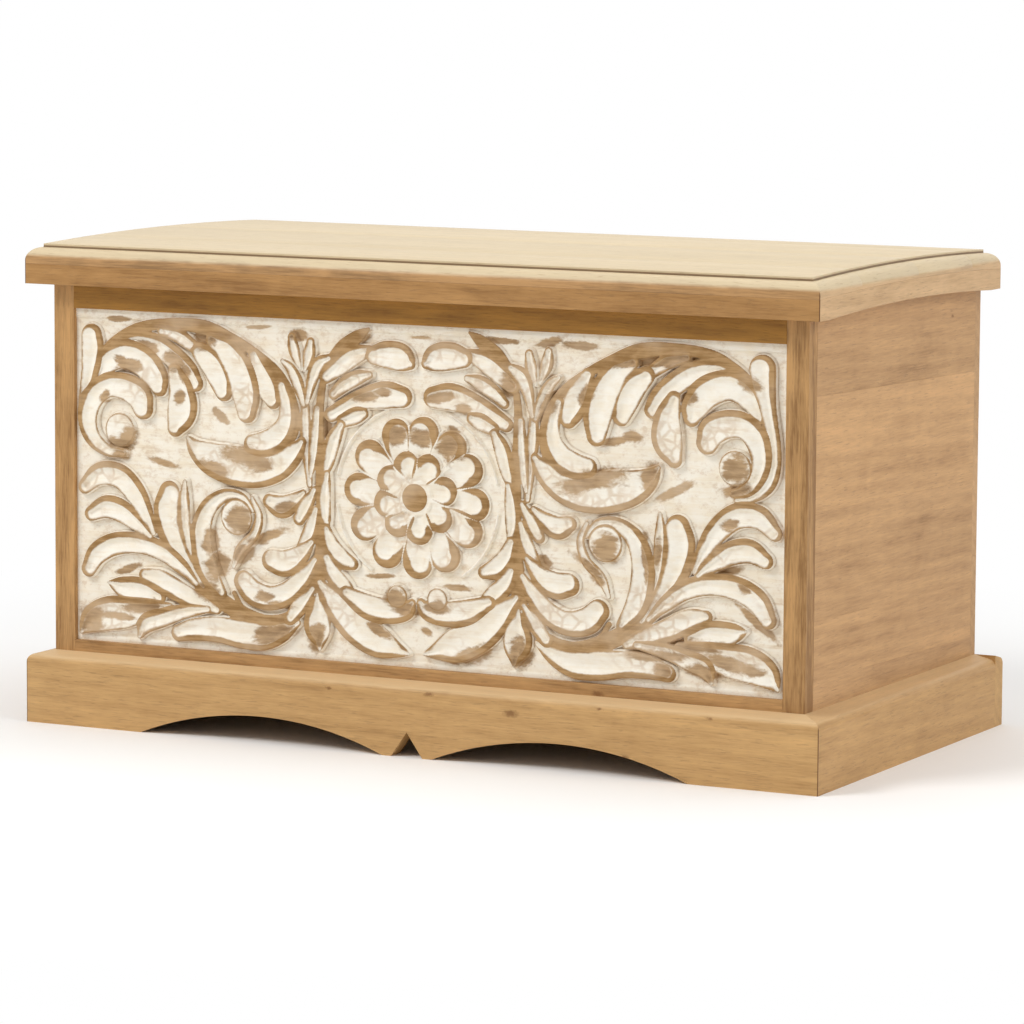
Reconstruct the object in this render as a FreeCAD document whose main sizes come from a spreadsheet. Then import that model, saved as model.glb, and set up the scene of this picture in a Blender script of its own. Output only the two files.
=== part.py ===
import FreeCAD, Part
import math
import os
import re
import Sketcher

# A carved trunk: a plank chest with a carved front panel set in a frame, a moulded plinth,
# and a crowned plank lid on two butt hinges, held open by a folding stay.
# Millimetres. X runs along the width, -Y is the carved front, Z is up.
# The origin is on the floor, in the middle of the footprint.

os.makedirs("parts", exist_ok=True)
doc = FreeCAD.newDocument("CarvedTrunk")

QUARTER_TURN = 90

SIZES = {
    # Chest box
    "body_width": 858.6,
    "body_depth": 442.6,
    "rim_height": 462.0,
    "carcass_base": 36.0,
    # Front frame and its carved panel
    "frame_thickness": 20.0,
    "stile_width": 24.0,
    "top_rail_height": 25.5,
    "bottom_rail_height": 52.0,
    "groove_setback": 10.0,
    "groove_width": 6.0,
    "groove_depth": 7.0,
    # Carving: how far its ground lies behind the frame's face, and how high it stands
    "carving_setback": 6.8,
    "carving_rise": 4.6,
    "rosette_step": 1.4,
    # Side walls of edge-glued boards, whose seams fall a little towards the back
    "side_thickness": 20.0,
    "side_seam_fall": 9.0,
    # Back wall, hinge rail and corner posts
    "back_thickness": 13.5,
    "hinge_rail_thickness": 20.0,
    "hinge_rail_height": 45.0,
    "post_size": 22.0,
    # Floor of the chest
    "floor_thickness": 9.0,
    "cleat_width": 20.0,
    "cleat_height": 16.0,
    # Plinth
    "plinth_height": 76.0,
    "plinth_front_thickness": 19.7,
    "plinth_side_thickness": 23.5,
    "plinth_back_thickness": 21.0,
    "plinth_fall": 5.3,
    "plinth_round": 8.5,
    "foot_length": 139.0,
    "apron_rise": 28.0,
    "centre_foot_half": 28.0,
    "notch_half": 18.0,
    "notch_height": 25.6,
    "block_leg": 60.0,
    # Lid
    "lid_front_overhang": 23.3,
    "lid_side_overhang": 20.7,
    "lid_back_overhang": 3.0,
    "skirt_height": 21.0,
    "slab_thickness": 16.0,
    "crown_rise": 5.0,
    "arch_rise": 6.0,
    "arch_end_flat": 25.0,
    "arch_gap": 0.4,
    "edge_round": 13.0,
    "field_inset": 14.0,
    "field_step": 3.6,
    "batten_width": 40.0,
    "batten_spacing": 400.0,
    "batten_clearance": 4.0,
    # Butt hinges
    "hinge_inset": 150.0,
    "hinge_length": 76.0,
    "leaf_width": 26.0,
    "leaf_thickness": 2.0,
    "knuckle_radius": 4.0,
    "knuckle_gap": 0.4,
    "barrel_clearance": 0.5,
    "hinge_pin_radius": 2.0,
    "pin_head_radius": 3.2,
    "pin_head_length": 1.6,
    "running_clearance": 0.05,
    # Countersunk screws
    "screw_radius": 1.8,
    "screw_head_radius": 3.4,
    "screw_head_height": 1.5,
    "screw_length": 15.0,
    "screw_slot_width": 0.8,
    "screw_slot_depth": 0.7,
    "screw_recess": 0.2,
    "screw_clearance": 0.1,
    "hinge_screw_pitch": 26.0,
    "hinge_screw_setback": 10.0,
    # Folding stay: a parallelogram of the hinge line, foot, elbow and lid pivot.
    # The lid opens by lid_opening degrees, until the upper arm lands on a peg past the elbow.
    "lid_opening": 95.0,
    "stay_peg_radius": 2.0,
    "stay_plate": 2.0,
    "stay_arm_thickness": 2.5,
    "stay_arm_width": 16.0,
    "stay_gap": 0.5,
    "stay_foot_forward": 92.0,
    "stay_foot_drop": 131.0,
    "stay_lid_forward": 160.0,
    "stay_lid_drop": 15.0,
    "stay_plate_width": 20.0,
    "stay_plate_height": 60.0,
    "stay_screw_pitch": 40.0,
    "stay_ear_width": 44.0,
    "stay_ear_height": 14.0,
    "stay_ear_inset": 3.0,
    "stay_ear_pitch": 30.0,
    "rivet_radius": 2.5,
    "rivet_head_radius": 5.0,
    "rivet_head_height": 1.4,
    "rivet_head_gap": 0.3,
    "overrun": 5.0,
}

# Where the boards meet, as shares of the wall's height or of the lid's depth.
SIDE_SEAM_SHARES = (0.162, 0.300, 0.552, 0.819)
BACK_SEAM_SHARES = (0.340, 0.680)
PLANK_SEAM_SHARES = (0.220, 0.527, 0.834)
# The knuckles of one butt hinge, shared in turn between its two leaves.
KNUCKLES = 5
# The carving's main forms on the left half, which the right half mirrors. A place is a share
# of the opening's half width and of its height, and a length is a share of that height.
# Leaves, pointed at both ends: place along, place up, length, half width, degrees.
LEAF_SHARES = [
    # Round the big scroll
    (0.755, 0.872, 0.287, 0.040, 160),
    (0.688, 0.737, 0.212, 0.046, 90),
    (0.846, 0.841, 0.247, 0.046, 25),
    (0.585, 0.832, 0.178, 0.040, 120),
    (0.518, 0.824, 0.258, 0.049, 112),
    (0.395, 0.712, 0.218, 0.034, 78),
    (0.950, 0.832, 0.207, 0.026, 85),
    # The spray beside it
    (0.358, 0.824, 0.161, 0.020, 120),
    (0.284, 0.841, 0.161, 0.023, 65),
    (0.313, 0.643, 0.264, 0.020, 88),
    # Round the rosette
    (0.276, 0.528, 0.545, 0.017, 92),
    (0.202, 0.887, 0.178, 0.037, 33),
    (0.076, 0.898, 0.172, 0.043, 172),
    (0.148, 0.772, 0.281, 0.037, 16),
    (0.249, 0.626, 0.166, 0.026, 70),
    (0.262, 0.473, 0.149, 0.023, 90),
    (0.225, 0.336, 0.149, 0.032, 130),
    (0.222, 0.253, 0.138, 0.029, 132),
    (0.151, 0.112, 0.367, 0.052, 147),
    (0.111, 0.175, 0.230, 0.034, 172),
    # The fan in the lower corner
    (0.669, 0.362, 0.275, 0.023, 88),
    (0.698, 0.339, 0.304, 0.037, 114),
    (0.822, 0.161, 0.189, 0.032, 168),
    (0.854, 0.083, 0.321, 0.046, 11),
    (0.688, 0.169, 0.264, 0.037, 157),
    (0.711, 0.077, 0.241, 0.032, 22),
    (0.868, 0.385, 0.224, 0.037, 166),
    (0.873, 0.462, 0.275, 0.043, 152),
    (0.518, 0.057, 0.419, 0.043, 5),
    # Between the fan and the rosette
    (0.385, 0.456, 0.172, 0.032, 176),
    (0.321, 0.456, 0.109, 0.023, 60),
    (0.306, 0.390, 0.126, 0.026, 72),
    (0.360, 0.298, 0.161, 0.037, 16),
    (0.316, 0.161, 0.126, 0.026, 52),
    (0.284, 0.115, 0.178, 0.043, 90),
]
# Scrolls, as crescents: place along, place up, radius, width at the middle, the degrees that
# the middle lies at, and the degrees from there to each tip.
SCROLL_SHARES = [
    (0.646, 0.608, 0.362, 0.040, 56, 80),
    (0.496, 0.692, 0.201, 0.109, 270, 72),
    (0.876, 0.671, 0.141, 0.063, 150, 105),
    (0.363, 0.620, 0.545, 0.049, 239, 33),
    (0.802, 0.069, 0.267, 0.069, 95, 52),
    (0.506, 0.330, 0.166, 0.063, 180, 62),
    (0.395, 0.316, 0.178, 0.069, 256, 56),
]
# Round knobs: place along, place up, radius.
KNOB_SHARES = [(0.866, 0.643, 0.055), (0.521, 0.405, 0.057), (0.057, 0.212, 0.037)]
# The rosette in the middle: place up, how far out its petals' centres lie, a petal's radius,
# and the radius of the inner flower, which stands a step higher.
ROSETTE_SHARES = (0.499, 0.152, 0.043, 0.098)
PETALS = 12
# The largest part of a wall's thickness that a rounded edge may take.
LARGEST_ROUND_SHARE = 0.9

# Places that follow from the sizes, in the same words.
PLACES = {
    "overall_depth": "lid_front_overhang + body_depth + plinth_back_thickness",
    "body_front": "lid_front_overhang - overall_depth / 2",
    "body_back": "body_front + body_depth",
    "body_side": "body_width / 2",
    "wall_inside": "body_side - side_thickness",
    "frame_back": "body_front + frame_thickness",
    "back_inside": "body_back - back_thickness",
    "opening_half": "body_side - stile_width",
    "opening_low": "carcass_base + bottom_rail_height",
    "opening_high": "rim_height - top_rail_height",
    "groove_front": "body_front + groove_setback",
    "groove_back": "groove_front + groove_width",
    "opening_height": "opening_high - opening_low",
    "carving_ground": "body_front + carving_setback",
    "carving_front": "carving_ground - carving_rise",
    "wall_height": "rim_height - carcass_base",
    "floor_low": "carcass_base + cleat_height",
    "floor_high": "floor_low + floor_thickness",
    "post_top": "rim_height - hinge_rail_height",
    "rail_front": "back_inside - hinge_rail_thickness",
    "plinth_side": "body_side + plinth_side_thickness",
    "plinth_front": "body_front - plinth_front_thickness",
    "plinth_back": "body_back + plinth_back_thickness",
    "plinth_edge": "plinth_height - plinth_fall",
    "apron_chord": "plinth_side - foot_length - centre_foot_half",
    "apron_middle": "centre_foot_half + apron_chord / 2",
    "apron_radius": "(apron_chord ^ 2 / 4 + apron_rise ^ 2) / (2 * apron_rise)",
    "lid_side": "body_side + lid_side_overhang",
    "lid_front": "body_front - lid_front_overhang",
    "lid_back": "body_back + lid_back_overhang",
    "lid_middle": "(lid_front + lid_back) / 2",
    "lid_depth": "lid_back - lid_front",
    "stay_stack": "stay_plate + 2 * stay_arm_thickness + 3 * stay_gap",
    "skirt_width": "lid_side_overhang + side_thickness + stay_stack",
    "skirt_inside": "lid_side - skirt_width",
    "skirt_top": "rim_height + skirt_height",
    "crown_radius": "(lid_depth ^ 2 / 4 + crown_rise ^ 2) / (2 * crown_rise)",
    "crown_centre": "skirt_top + crown_rise - crown_radius",
    "arch_chord": "lid_depth - 2 * arch_end_flat",
    "arch_radius": "(arch_chord ^ 2 / 4 + arch_rise ^ 2) / (2 * arch_rise)",
    "arch_centre": "rim_height + arch_rise - arch_radius",
    "lid_top": "skirt_top + crown_rise + slab_thickness + field_step",
    "leaf_back": "lid_back",
    "leaf_front": "lid_back - leaf_width",
    "axis_back": "lid_back + knuckle_radius + barrel_clearance",
    "hinge_place": "body_side - hinge_inset",
    "knuckle_length": f"(hinge_length - {KNUCKLES - 1} * knuckle_gap) / {KNUCKLES}",
    "screw_line": "lid_back - hinge_screw_setback",
    "plate_inside": "-wall_inside + stay_plate",
    "lower_arm_low": "plate_inside + stay_gap",
    "lower_arm_high": "lower_arm_low + stay_arm_thickness",
    "upper_arm_low": "lower_arm_high + stay_gap",
    "upper_arm_high": "upper_arm_low + stay_arm_thickness",
    "ear_low": "-skirt_inside",
    "ear_high": "ear_low + stay_plate",
    "foot_y": "axis_back - stay_foot_forward",
    "foot_z": "rim_height - stay_foot_drop",
    "lid_pivot_y": "axis_back - stay_lid_forward",
    "lid_pivot_z": "rim_height - stay_lid_drop",
    "elbow_y": "foot_y - stay_lid_forward",
    "elbow_z": "foot_z - stay_lid_drop",
    "lower_arm_length": "sqrt(stay_lid_forward ^ 2 + stay_lid_drop ^ 2)",
    "upper_arm_length": "sqrt(stay_foot_forward ^ 2 + stay_foot_drop ^ 2)",
    "stop_angle": "180 deg - lid_opening * 1 deg - atan2(stay_foot_drop; stay_foot_forward)"
                  " + atan2(stay_lid_drop; stay_lid_forward)",
    "tail_length": "(stay_arm_width / 2 + stay_peg_radius + rivet_head_gap) / sin(stop_angle)",
    "tail_y": "elbow_y - tail_length * stay_lid_forward / lower_arm_length",
    "tail_z": "elbow_z - tail_length * stay_lid_drop / lower_arm_length",
    "ear_top": "skirt_top - stay_ear_inset",
    "ear_low_edge": "ear_top - stay_ear_height",
}

# The sheet of driving sizes
sheet = doc.addObject("Spreadsheet::Sheet", "Sizes")
for row, (word, number) in enumerate(SIZES.items(), start=1):
    sheet.set(f"A{row}", word)
    sheet.set(f"B{row}", str(number))
    sheet.setAlias(f"B{row}", word)
doc.recompute()


def rule(text):
    """Write a rule in the sheet's words as an expression of the document."""
    def spell(match):
        word = match.group(0)
        if word in PLACES:
            return "(" + rule(PLACES[word]) + ")"
        if word in SIZES:
            return "Sizes." + word
        return word
    return re.sub(r"[a-z][a-z_]*", spell, text)


def number(text):
    """The value of a rule."""
    return float(sheet.evalExpression(rule(text)))


def bind(thing, **rules):
    """Bind properties of a feature to rules; base_x stands for Placement.Base.x."""
    for key, text in rules.items():
        path = key.replace("base_", "Placement.Base.")
        thing.setExpression(path, rule(str(text)))
    return thing


def turned(thing, axis, quarters):
    """Turn a feature about an axis through the origin by quarter turns."""
    turn = FreeCAD.Rotation(FreeCAD.Vector(*axis), QUARTER_TURN * quarters)
    thing.Placement = FreeCAD.Placement(FreeCAD.Vector(), turn)
    return thing


def box(name, x, y, z):
    """A block between a low and a high rule on each axis."""
    block = doc.addObject("Part::Box", name)
    for side, (low, high) in zip(("Length", "Width", "Height"), (x, y, z)):
        bind(block, **{side: f"({high}) - ({low})"})
    return bind(block, base_x=x[0], base_y=y[0], base_z=z[0])


def wedge(name, y, near_x, far_x, near_z, far_z, quarters=0):
    """A block along Y whose X and Z limits go straight from those near to those far."""
    block = turned(doc.addObject("Part::Wedge", name), (0, 0, 1), quarters)
    return bind(block, Ymin=y[0], Ymax=y[1], Xmin=near_x[0], Xmax=near_x[1], Zmin=near_z[0],
                Zmax=near_z[1], X2min=far_x[0], X2max=far_x[1], Z2min=far_z[0], Z2max=far_z[1])


def bar_along_x(name, radius, x, y, z):
    """A round bar along X between two rules, centred on y and z."""
    bar = turned(doc.addObject("Part::Cylinder", name), (0, 1, 0), 1)
    return bind(bar, Radius=radius, Height=f"({x[1]}) - ({x[0]})", base_x=x[0], base_y=y, base_z=z)


def bar_along_y(name, radius, x, y, z):
    """A round bar along Y between two rules, centred on x and z."""
    bar = turned(doc.addObject("Part::Cylinder", name), (1, 0, 0), -1)
    return bind(bar, Radius=radius, Height=f"({y[1]}) - ({y[0]})", base_x=x, base_y=y[0], base_z=z)


def cut(name, base, *tools):
    """The base without its tools."""
    for count, tool in enumerate(tools, start=1):
        last = count == len(tools)
        step = doc.addObject("Part::Cut", name if last else f"{name}_less_{count}")
        step.Base = base
        step.Tool = tool
        base = step
    return base


def joined(name, *pieces):
    """Pieces of one solid, fused."""
    fuse = doc.addObject("Part::MultiFuse", name)
    fuse.Shapes = list(pieces)
    return fuse


def shared(name, *pieces):
    """What all the pieces have in common."""
    common = doc.addObject("Part::MultiCommon", name)
    common.Shapes = list(pieces)
    return common


def group(name, pieces):
    """Separate solids kept under one name."""
    compound = doc.addObject("Part::Compound", name)
    compound.Links = list(pieces)
    return compound


def rounded(name, base, radius, wall, picked):
    """Round the picked edges, by no more than a share of the wall."""
    doc.recompute()
    size = min(number(radius), number(wall) * LARGEST_ROUND_SHARE)
    edges = [index for index, edge in enumerate(base.Shape.Edges, start=1) if picked(edge)]
    fillet = doc.addObject("Part::Fillet", name)
    fillet.Base = base
    fillet.Edges = [(index, size, size) for index in edges]
    return fillet


def profile_on(body, role, points):
    """A closed sketch of straight lines on one of the body's own planes, bound to rules."""
    sketch = body.newObject("Sketcher::SketchObject", body.Name + "_outline")
    plane = next(f for f in body.Origin.OriginFeatures if f.Role == role)
    sketch.AttachmentSupport = [(plane, "")]
    sketch.MapMode = "FlatFace"
    places = [FreeCAD.Vector(number(a), number(b), 0) for a, b in points]
    for index, start in enumerate(places):
        sketch.addGeometry(Part.LineSegment(start, places[(index + 1) % len(places)]), False)
    return constrain(sketch, points)


def constrain(sketch, points):
    """Tie each corner of a sketch to its two rules."""
    count = len(points)
    for index in range(count):
        follower = (index + 1) % count
        sketch.addConstraint(Sketcher.Constraint("Coincident", index, 2, follower, 1))
    for index, corner in enumerate(points):
        for way, text in zip(("DistanceX", "DistanceY"), corner):
            which = sketch.addConstraint(Sketcher.Constraint(way, -1, 1, index, 1, number(text)))
            sketch.setExpression(f"Constraints[{which}]", rule(text))
    return sketch


def padded(name, role, points, length):
    """A body with one outline on a plane, padded by a length."""
    body = doc.addObject("PartDesign::Body", name)
    pad = body.newObject("PartDesign::Pad", name + "_pad")
    pad.Profile = profile_on(body, role, points)
    body.Tip = pad
    bind(pad, Length=length)
    return body


# The finished pieces, in the order that they are written
pieces = []


def piece(thing, label=None):
    """Keep a finished piece under its own label."""
    thing.Label = label or thing.Name
    pieces.append(thing)
    return thing


HANDS = ("left", "right")


def on_side(hand, low, high):
    """A low and a high rule of X on the right, or the same two mirrored to the left."""
    if hand == "left":
        return f"-({high})", f"-({low})"
    return low, high


# Screws: each is drawn standing on the origin with its head up, then turned and placed
def screw_envelope(name, spare):
    """The cone and shank of a countersunk screw, made larger all round by a clearance."""
    head = doc.addObject("Part::Cone", name + "_head")
    bind(head, Radius1=f"screw_radius + {spare}", Radius2=f"screw_head_radius + {spare}",
         Height="screw_head_height", base_z="-screw_recess - screw_head_height")
    shank = doc.addObject("Part::Cylinder", name + "_shank")
    bind(shank, Radius=f"screw_radius + {spare}", Height="screw_length - screw_recess",
         base_z="-screw_length")
    mouth = doc.addObject("Part::Cylinder", name + "_mouth")
    bind(mouth, Radius=f"screw_head_radius + {spare}", Height="screw_recess", base_z="-screw_recess")
    return head, shank, mouth


def placed(thing, axis, quarters, x, y, z):
    """Turn a feature, then carry its origin to a place."""
    return bind(turned(thing, axis, quarters), base_x=x, base_y=y, base_z=z)


def screw(name, axis, quarters, x, y, z):
    """A slotted countersunk screw."""
    head, shank, _ = screw_envelope(name, "0")
    slot = box(name + "_slot", ("-screw_slot_width / 2", "screw_slot_width / 2"),
               ("-screw_head_radius", "screw_head_radius"),
               ("-screw_recess - screw_slot_depth", "-screw_recess + overrun"))
    return placed(cut(name, joined(name + "_blank", head, shank), slot), axis, quarters, x, y, z)


def screw_hole(name, axis, quarters, x, y, z):
    """The countersunk hole that such a screw goes in."""
    hole = joined(name, *screw_envelope(name, "screw_clearance"))
    return placed(hole, axis, quarters, x, y, z)


def screw_row(name, axis, quarters, spots):
    """The screws of one job as one group, and the group of their holes."""
    screws = []
    holes = []
    for count, spot in enumerate(spots, start=1):
        screws.append(screw(f"{name}_{count}", axis, quarters, *spot))
        holes.append(screw_hole(f"{name}_hole_{count}", axis, quarters, *spot))
    return piece(group(name, screws)), group(name + "_holes", holes)


ACROSS = (1, 0, 0)
BACKWARD = (0, 1, 0)

hinge_spots = []
for hand in HANDS:
    middle = "-(hinge_place)" if hand == "left" else "hinge_place"
    for step in (-1, 0, 1):
        hinge_spots.append((f"{middle} + {step} * hinge_screw_pitch", "screw_line", "rim_height"))
_, chest_hinge_holes = screw_row("hinge_chest_screws", ACROSS, 0, hinge_spots)
_, lid_hinge_holes = screw_row("hinge_lid_screws", ACROSS, 2, hinge_spots)
plate_spots = [("plate_inside", "foot_y", f"foot_z + {step} * stay_screw_pitch / 2")
               for step in (-1, 1)]
_, stay_chest_holes = screw_row("stay_chest_screws", BACKWARD, 1, plate_spots)
ear_spots = [("ear_high", f"lid_pivot_y + {step} * stay_ear_pitch / 2",
              "(ear_top + ear_low_edge) / 2") for step in (-1, 1)]
_, stay_lid_holes = screw_row("stay_lid_screws", BACKWARD, 1, ear_spots)


# Hinges: two leaves with alternate knuckles on one pin
def hinge_blank(name, middle, heights, first):
    """A leaf's plate with every other knuckle, beginning with the first."""
    ends = (f"{middle} - hinge_length / 2", f"{middle} + hinge_length / 2")
    parts = [box(name + "_plate", ends, ("leaf_front", "leaf_back"), heights)]
    for index in range(first, KNUCKLES, 2):
        start = f"{ends[0]} + {index} * (knuckle_length + knuckle_gap)"
        run = (start, f"{start} + knuckle_length")
        parts.append(bar_along_x(f"{name}_knuckle_{index}", "knuckle_radius", run,
                                 "axis_back", "rim_height"))
        parts.append(box(f"{name}_web_{index}", run, ("leaf_back", "axis_back"), heights))
    return joined(name + "_blank", *parts)


def hinge_bore(name, middle):
    """The hole through a leaf's knuckles."""
    ends = (f"{middle} - hinge_length / 2", f"{middle} + hinge_length / 2")
    return bar_along_x(name, "hinge_pin_radius + running_clearance", ends,
                       "axis_back", "rim_height")


def hinge_pin(name, middle):
    """The pin with a button head at each end of the barrel."""
    ends = (f"{middle} - hinge_length / 2", f"{middle} + hinge_length / 2")
    shank = bar_along_x(name + "_shank", "hinge_pin_radius", ends, "axis_back", "rim_height")
    low_end = (f"{ends[0]} - pin_head_length", ends[0])
    high_end = (ends[1], f"{ends[1]} + pin_head_length")
    heads = [bar_along_x(f"{name}_head_{count}", "pin_head_radius", run, "axis_back", "rim_height")
             for count, run in enumerate((low_end, high_end), start=1)]
    return piece(joined(name, shank, *heads))


chest_leaf_heights = ("rim_height - leaf_thickness", "rim_height")
lid_leaf_heights = ("rim_height", "rim_height + leaf_thickness")
chest_mortises = []
lid_mortises = []
for hand in HANDS:
    middle = "-(hinge_place)" if hand == "left" else "hinge_place"
    ends = (f"{middle} - hinge_length / 2", f"{middle} + hinge_length / 2")
    for owner, heights, first, holes in (("chest", chest_leaf_heights, 0, chest_hinge_holes),
                                         ("lid", lid_leaf_heights, 1, lid_hinge_holes)):
        name = f"hinge_{hand}_{owner}_leaf"
        leaf = hinge_blank(name, middle, heights, first)
        piece(cut(name, leaf, hinge_bore(f"hinge_{hand}_{owner}_bore", middle), holes))
    hinge_pin(f"hinge_{hand}_pin", middle)
    chest_mortises.append(box(f"{hand}_chest_mortise", ends, ("leaf_front", "leaf_back"),
                              ("rim_height - leaf_thickness", "rim_height + overrun")))
    lid_mortises.append(box(f"{hand}_lid_mortise", ends, ("leaf_front", "leaf_back + overrun"),
                            ("rim_height - overrun", "rim_height + leaf_thickness")))


# Front frame: stub tenons and a panel's tongue share one groove
frame_depth = ("body_front", "frame_back")
panel_groove = ("groove_front", "groove_back")
within = ("-(opening_half)", "opening_half")
into_stiles = ("-(opening_half + groove_depth)", "opening_half + groove_depth")
for hand in HANDS:
    blank = box(f"front_{hand}_stile_blank", on_side(hand, "opening_half", "body_side"), frame_depth,
                ("carcass_base", "rim_height"))
    groove = box(f"front_{hand}_stile_groove",
                 on_side(hand, "opening_half", "opening_half + groove_depth"),
                 panel_groove, ("carcass_base", "rim_height"))
    piece(cut(f"front_{hand}_stile", blank, groove))


def front_rail(name, heights, groove_heights):
    """A rail between the stiles with a stub tenon at each end and a groove for the panel."""
    rail = box(name + "_board", within, frame_depth, heights)
    tenons = box(name + "_tenons", into_stiles, panel_groove, heights)
    groove = box(name + "_groove", into_stiles, panel_groove, groove_heights)
    return piece(cut(name, joined(name + "_blank", rail, tenons), groove))


front_rail("front_top_rail", ("opening_high", "rim_height"),
           ("opening_high", "opening_high + groove_depth"))
front_rail("front_bottom_rail", ("carcass_base", "opening_low"),
           ("opening_low - groove_depth", "opening_low"))


# The carving's main forms: round bars through the ground, cut to leaves and crescents
carving_height = ("carving_front", "groove_front")
petal_height = ("carving_front - rosette_step", "groove_front")


def disc(name, along, up, radius, shift=(0.0, 0.0), height=carving_height):
    """A round bar through the panel at a place in shares, shifted by shares of the height."""
    x = f"-({along}) * opening_half + ({shift[0]:.4f}) * opening_height"
    z = f"opening_low + ({up} + {shift[1]:.4f}) * opening_height"
    return bar_along_y(name, f"{radius:.4f} * opening_height", x, height, z)


def leaf(name, along, up, length, half_width, degrees):
    """What two equal discs share: their radius follows from the length and the half width."""
    radius = ((length / 2) ** 2 + half_width ** 2) / (2 * half_width)
    apart = radius - half_width
    turn = math.radians(degrees)
    sides = [disc(f"{name}_{side}", along, up, radius,
                  (-way * apart * math.sin(turn), way * apart * math.cos(turn)))
             for side, way in (("low", -1), ("high", 1))]
    return shared(name, *sides)


def scroll(name, along, up, radius, width, degrees, spread):
    """A disc less a larger one set back, so that the two meet at the crescent's tips."""
    inner = radius - width
    back = (radius ** 2 - inner ** 2) / (2 * (inner - radius * math.cos(math.radians(spread))))
    turn = math.radians(degrees)
    hollow = disc(name + "_hollow", along, up, inner + back,
                  (-back * math.cos(turn), -back * math.sin(turn)))
    return cut(name, disc(name + "_disc", along, up, radius), hollow)


def mirrored(name, thing):
    """A feature's mirror image across the middle of the trunk."""
    image = doc.addObject("Part::Mirroring", name)
    image.Source = thing
    image.Normal = FreeCAD.Vector(1, 0, 0)
    return image


forms = [leaf(f"leaf_{count}", *row) for count, row in enumerate(LEAF_SHARES, start=1)]
forms += [scroll(f"scroll_{count}", *row) for count, row in enumerate(SCROLL_SHARES, start=1)]
forms += [disc(f"knob_{count}", *row) for count, row in enumerate(KNOB_SHARES, start=1)]
left_forms = joined("left_forms", *forms)
rosette_up, petal_out, petal_radius, flower_radius = ROSETTE_SHARES
rosette = [disc("flower", 0, rosette_up, flower_radius, height=petal_height),
           disc("rosette_disc", 0, rosette_up, petal_out)]
for count in range(PETALS):
    turn = math.tau * count / PETALS
    reach = (petal_out * math.cos(turn), petal_out * math.sin(turn))
    rosette.append(disc(f"petal_{count + 1}", 0, rosette_up, petal_radius, reach))
all_forms = joined("all_forms", left_forms, mirrored("right_forms", left_forms), *rosette)
opening = box("opening_block", within, (petal_height[0], "frame_back"), ("opening_low", "opening_high"))
panel_board = box("panel_board", within, ("carving_ground", "frame_back"),
                  ("opening_low", "opening_high"))
panel_tongue = box("panel_tongue", into_stiles, panel_groove,
                   ("opening_low - groove_depth", "opening_high + groove_depth"))
panel = joined("carved_panel", shared("carving", all_forms, opening), panel_board, panel_tongue)
panel.Refine = True
piece(panel)

# The lid's crowned surfaces and the arch under its sides, as round bars along the width
full_lid = ("-(lid_side + overrun)", "lid_side + overrun")
crown = bar_along_x("crown", "crown_radius", full_lid, "lid_middle", "crown_centre")
slab_crown = bar_along_x("slab_crown", "crown_radius + slab_thickness", full_lid,
                         "lid_middle", "crown_centre")
field_crown = bar_along_x("field_crown", "crown_radius + slab_thickness + field_step", full_lid,
                          "lid_middle", "crown_centre")
skirt_arch = bar_along_x("skirt_arch", "arch_radius", full_lid, "lid_middle", "arch_centre")
wall_arch = bar_along_x("wall_arch", "arch_radius - arch_gap", full_lid, "lid_middle", "arch_centre")

# Side walls: a rail and four boards, whose top one is arched and whose next one takes the stay
side_seams = [f"carcass_base + {share} * wall_height" for share in SIDE_SEAM_SHARES]
near_seams = ["carcass_base"] + side_seams + ["rim_height + arch_rise"]
far_seams = ["carcass_base"] + [f"{seam} - side_seam_fall" for seam in side_seams] + near_seams[-1:]
above_rim = box("above_rim", full_lid, ("lid_front", "lid_back"),
                ("rim_height", "rim_height + arch_rise + overrun"))
above_wall = cut("above_wall", above_rim, wall_arch)
sawn_away = {"left_side_board_3": stay_chest_holes, "left_side_board_4": above_wall,
             "right_side_board_4": above_wall}
for hand in HANDS:
    x = on_side(hand, "wall_inside", "body_side")
    for index, board in enumerate(("bottom_rail", "board_1", "board_2", "board_3", "board_4")):
        name = f"{hand}_side_{board}"
        plank = wedge(name + "_blank", ("frame_back", "back_inside"), x, x,
                      (near_seams[index], near_seams[index + 1]), (far_seams[index], far_seams[index + 1]))
        if name in sawn_away:
            plank = cut(name, plank, sawn_away[name])
        piece(plank, name)

# Back wall, hinge rail and corner posts
back_seams = ["carcass_base"]
back_seams += [f"carcass_base + {share} * wall_height" for share in BACK_SEAM_SHARES]
back_seams.append("rim_height")
for count, heights in enumerate(zip(back_seams, back_seams[1:]), start=1):
    name = f"back_board_{count}"
    board = box(name + "_blank", ("-(body_side)", "body_side"), ("back_inside", "body_back"), heights)
    if heights[1] == "rim_height":
        board = cut(name, board, *chest_mortises, chest_hinge_holes)
    piece(board, name)
rail = box("hinge_rail_blank", ("-(wall_inside)", "wall_inside"), ("rail_front", "back_inside"),
           ("post_top", "rim_height"))
piece(cut("hinge_rail", rail, *chest_mortises))
for hand in HANDS:
    x = on_side(hand, "wall_inside - post_size", "wall_inside")
    for place, y in (("front", ("frame_back", "frame_back + post_size")),
                     ("back", ("back_inside - post_size", "back_inside"))):
        piece(box(f"{place}_{hand}_corner_post", x, y, ("floor_high", "post_top")))

# Floor on its two cleats
inside = ("-(wall_inside)", "wall_inside")
piece(box("floor_panel", inside, ("frame_back", "back_inside"), ("floor_low", "floor_high")))
piece(box("front_floor_cleat", inside, ("frame_back", "frame_back + cleat_width"),
          ("carcass_base", "floor_low")))
piece(box("back_floor_cleat", inside, ("back_inside - cleat_width", "back_inside"),
          ("carcass_base", "floor_low")))

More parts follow.
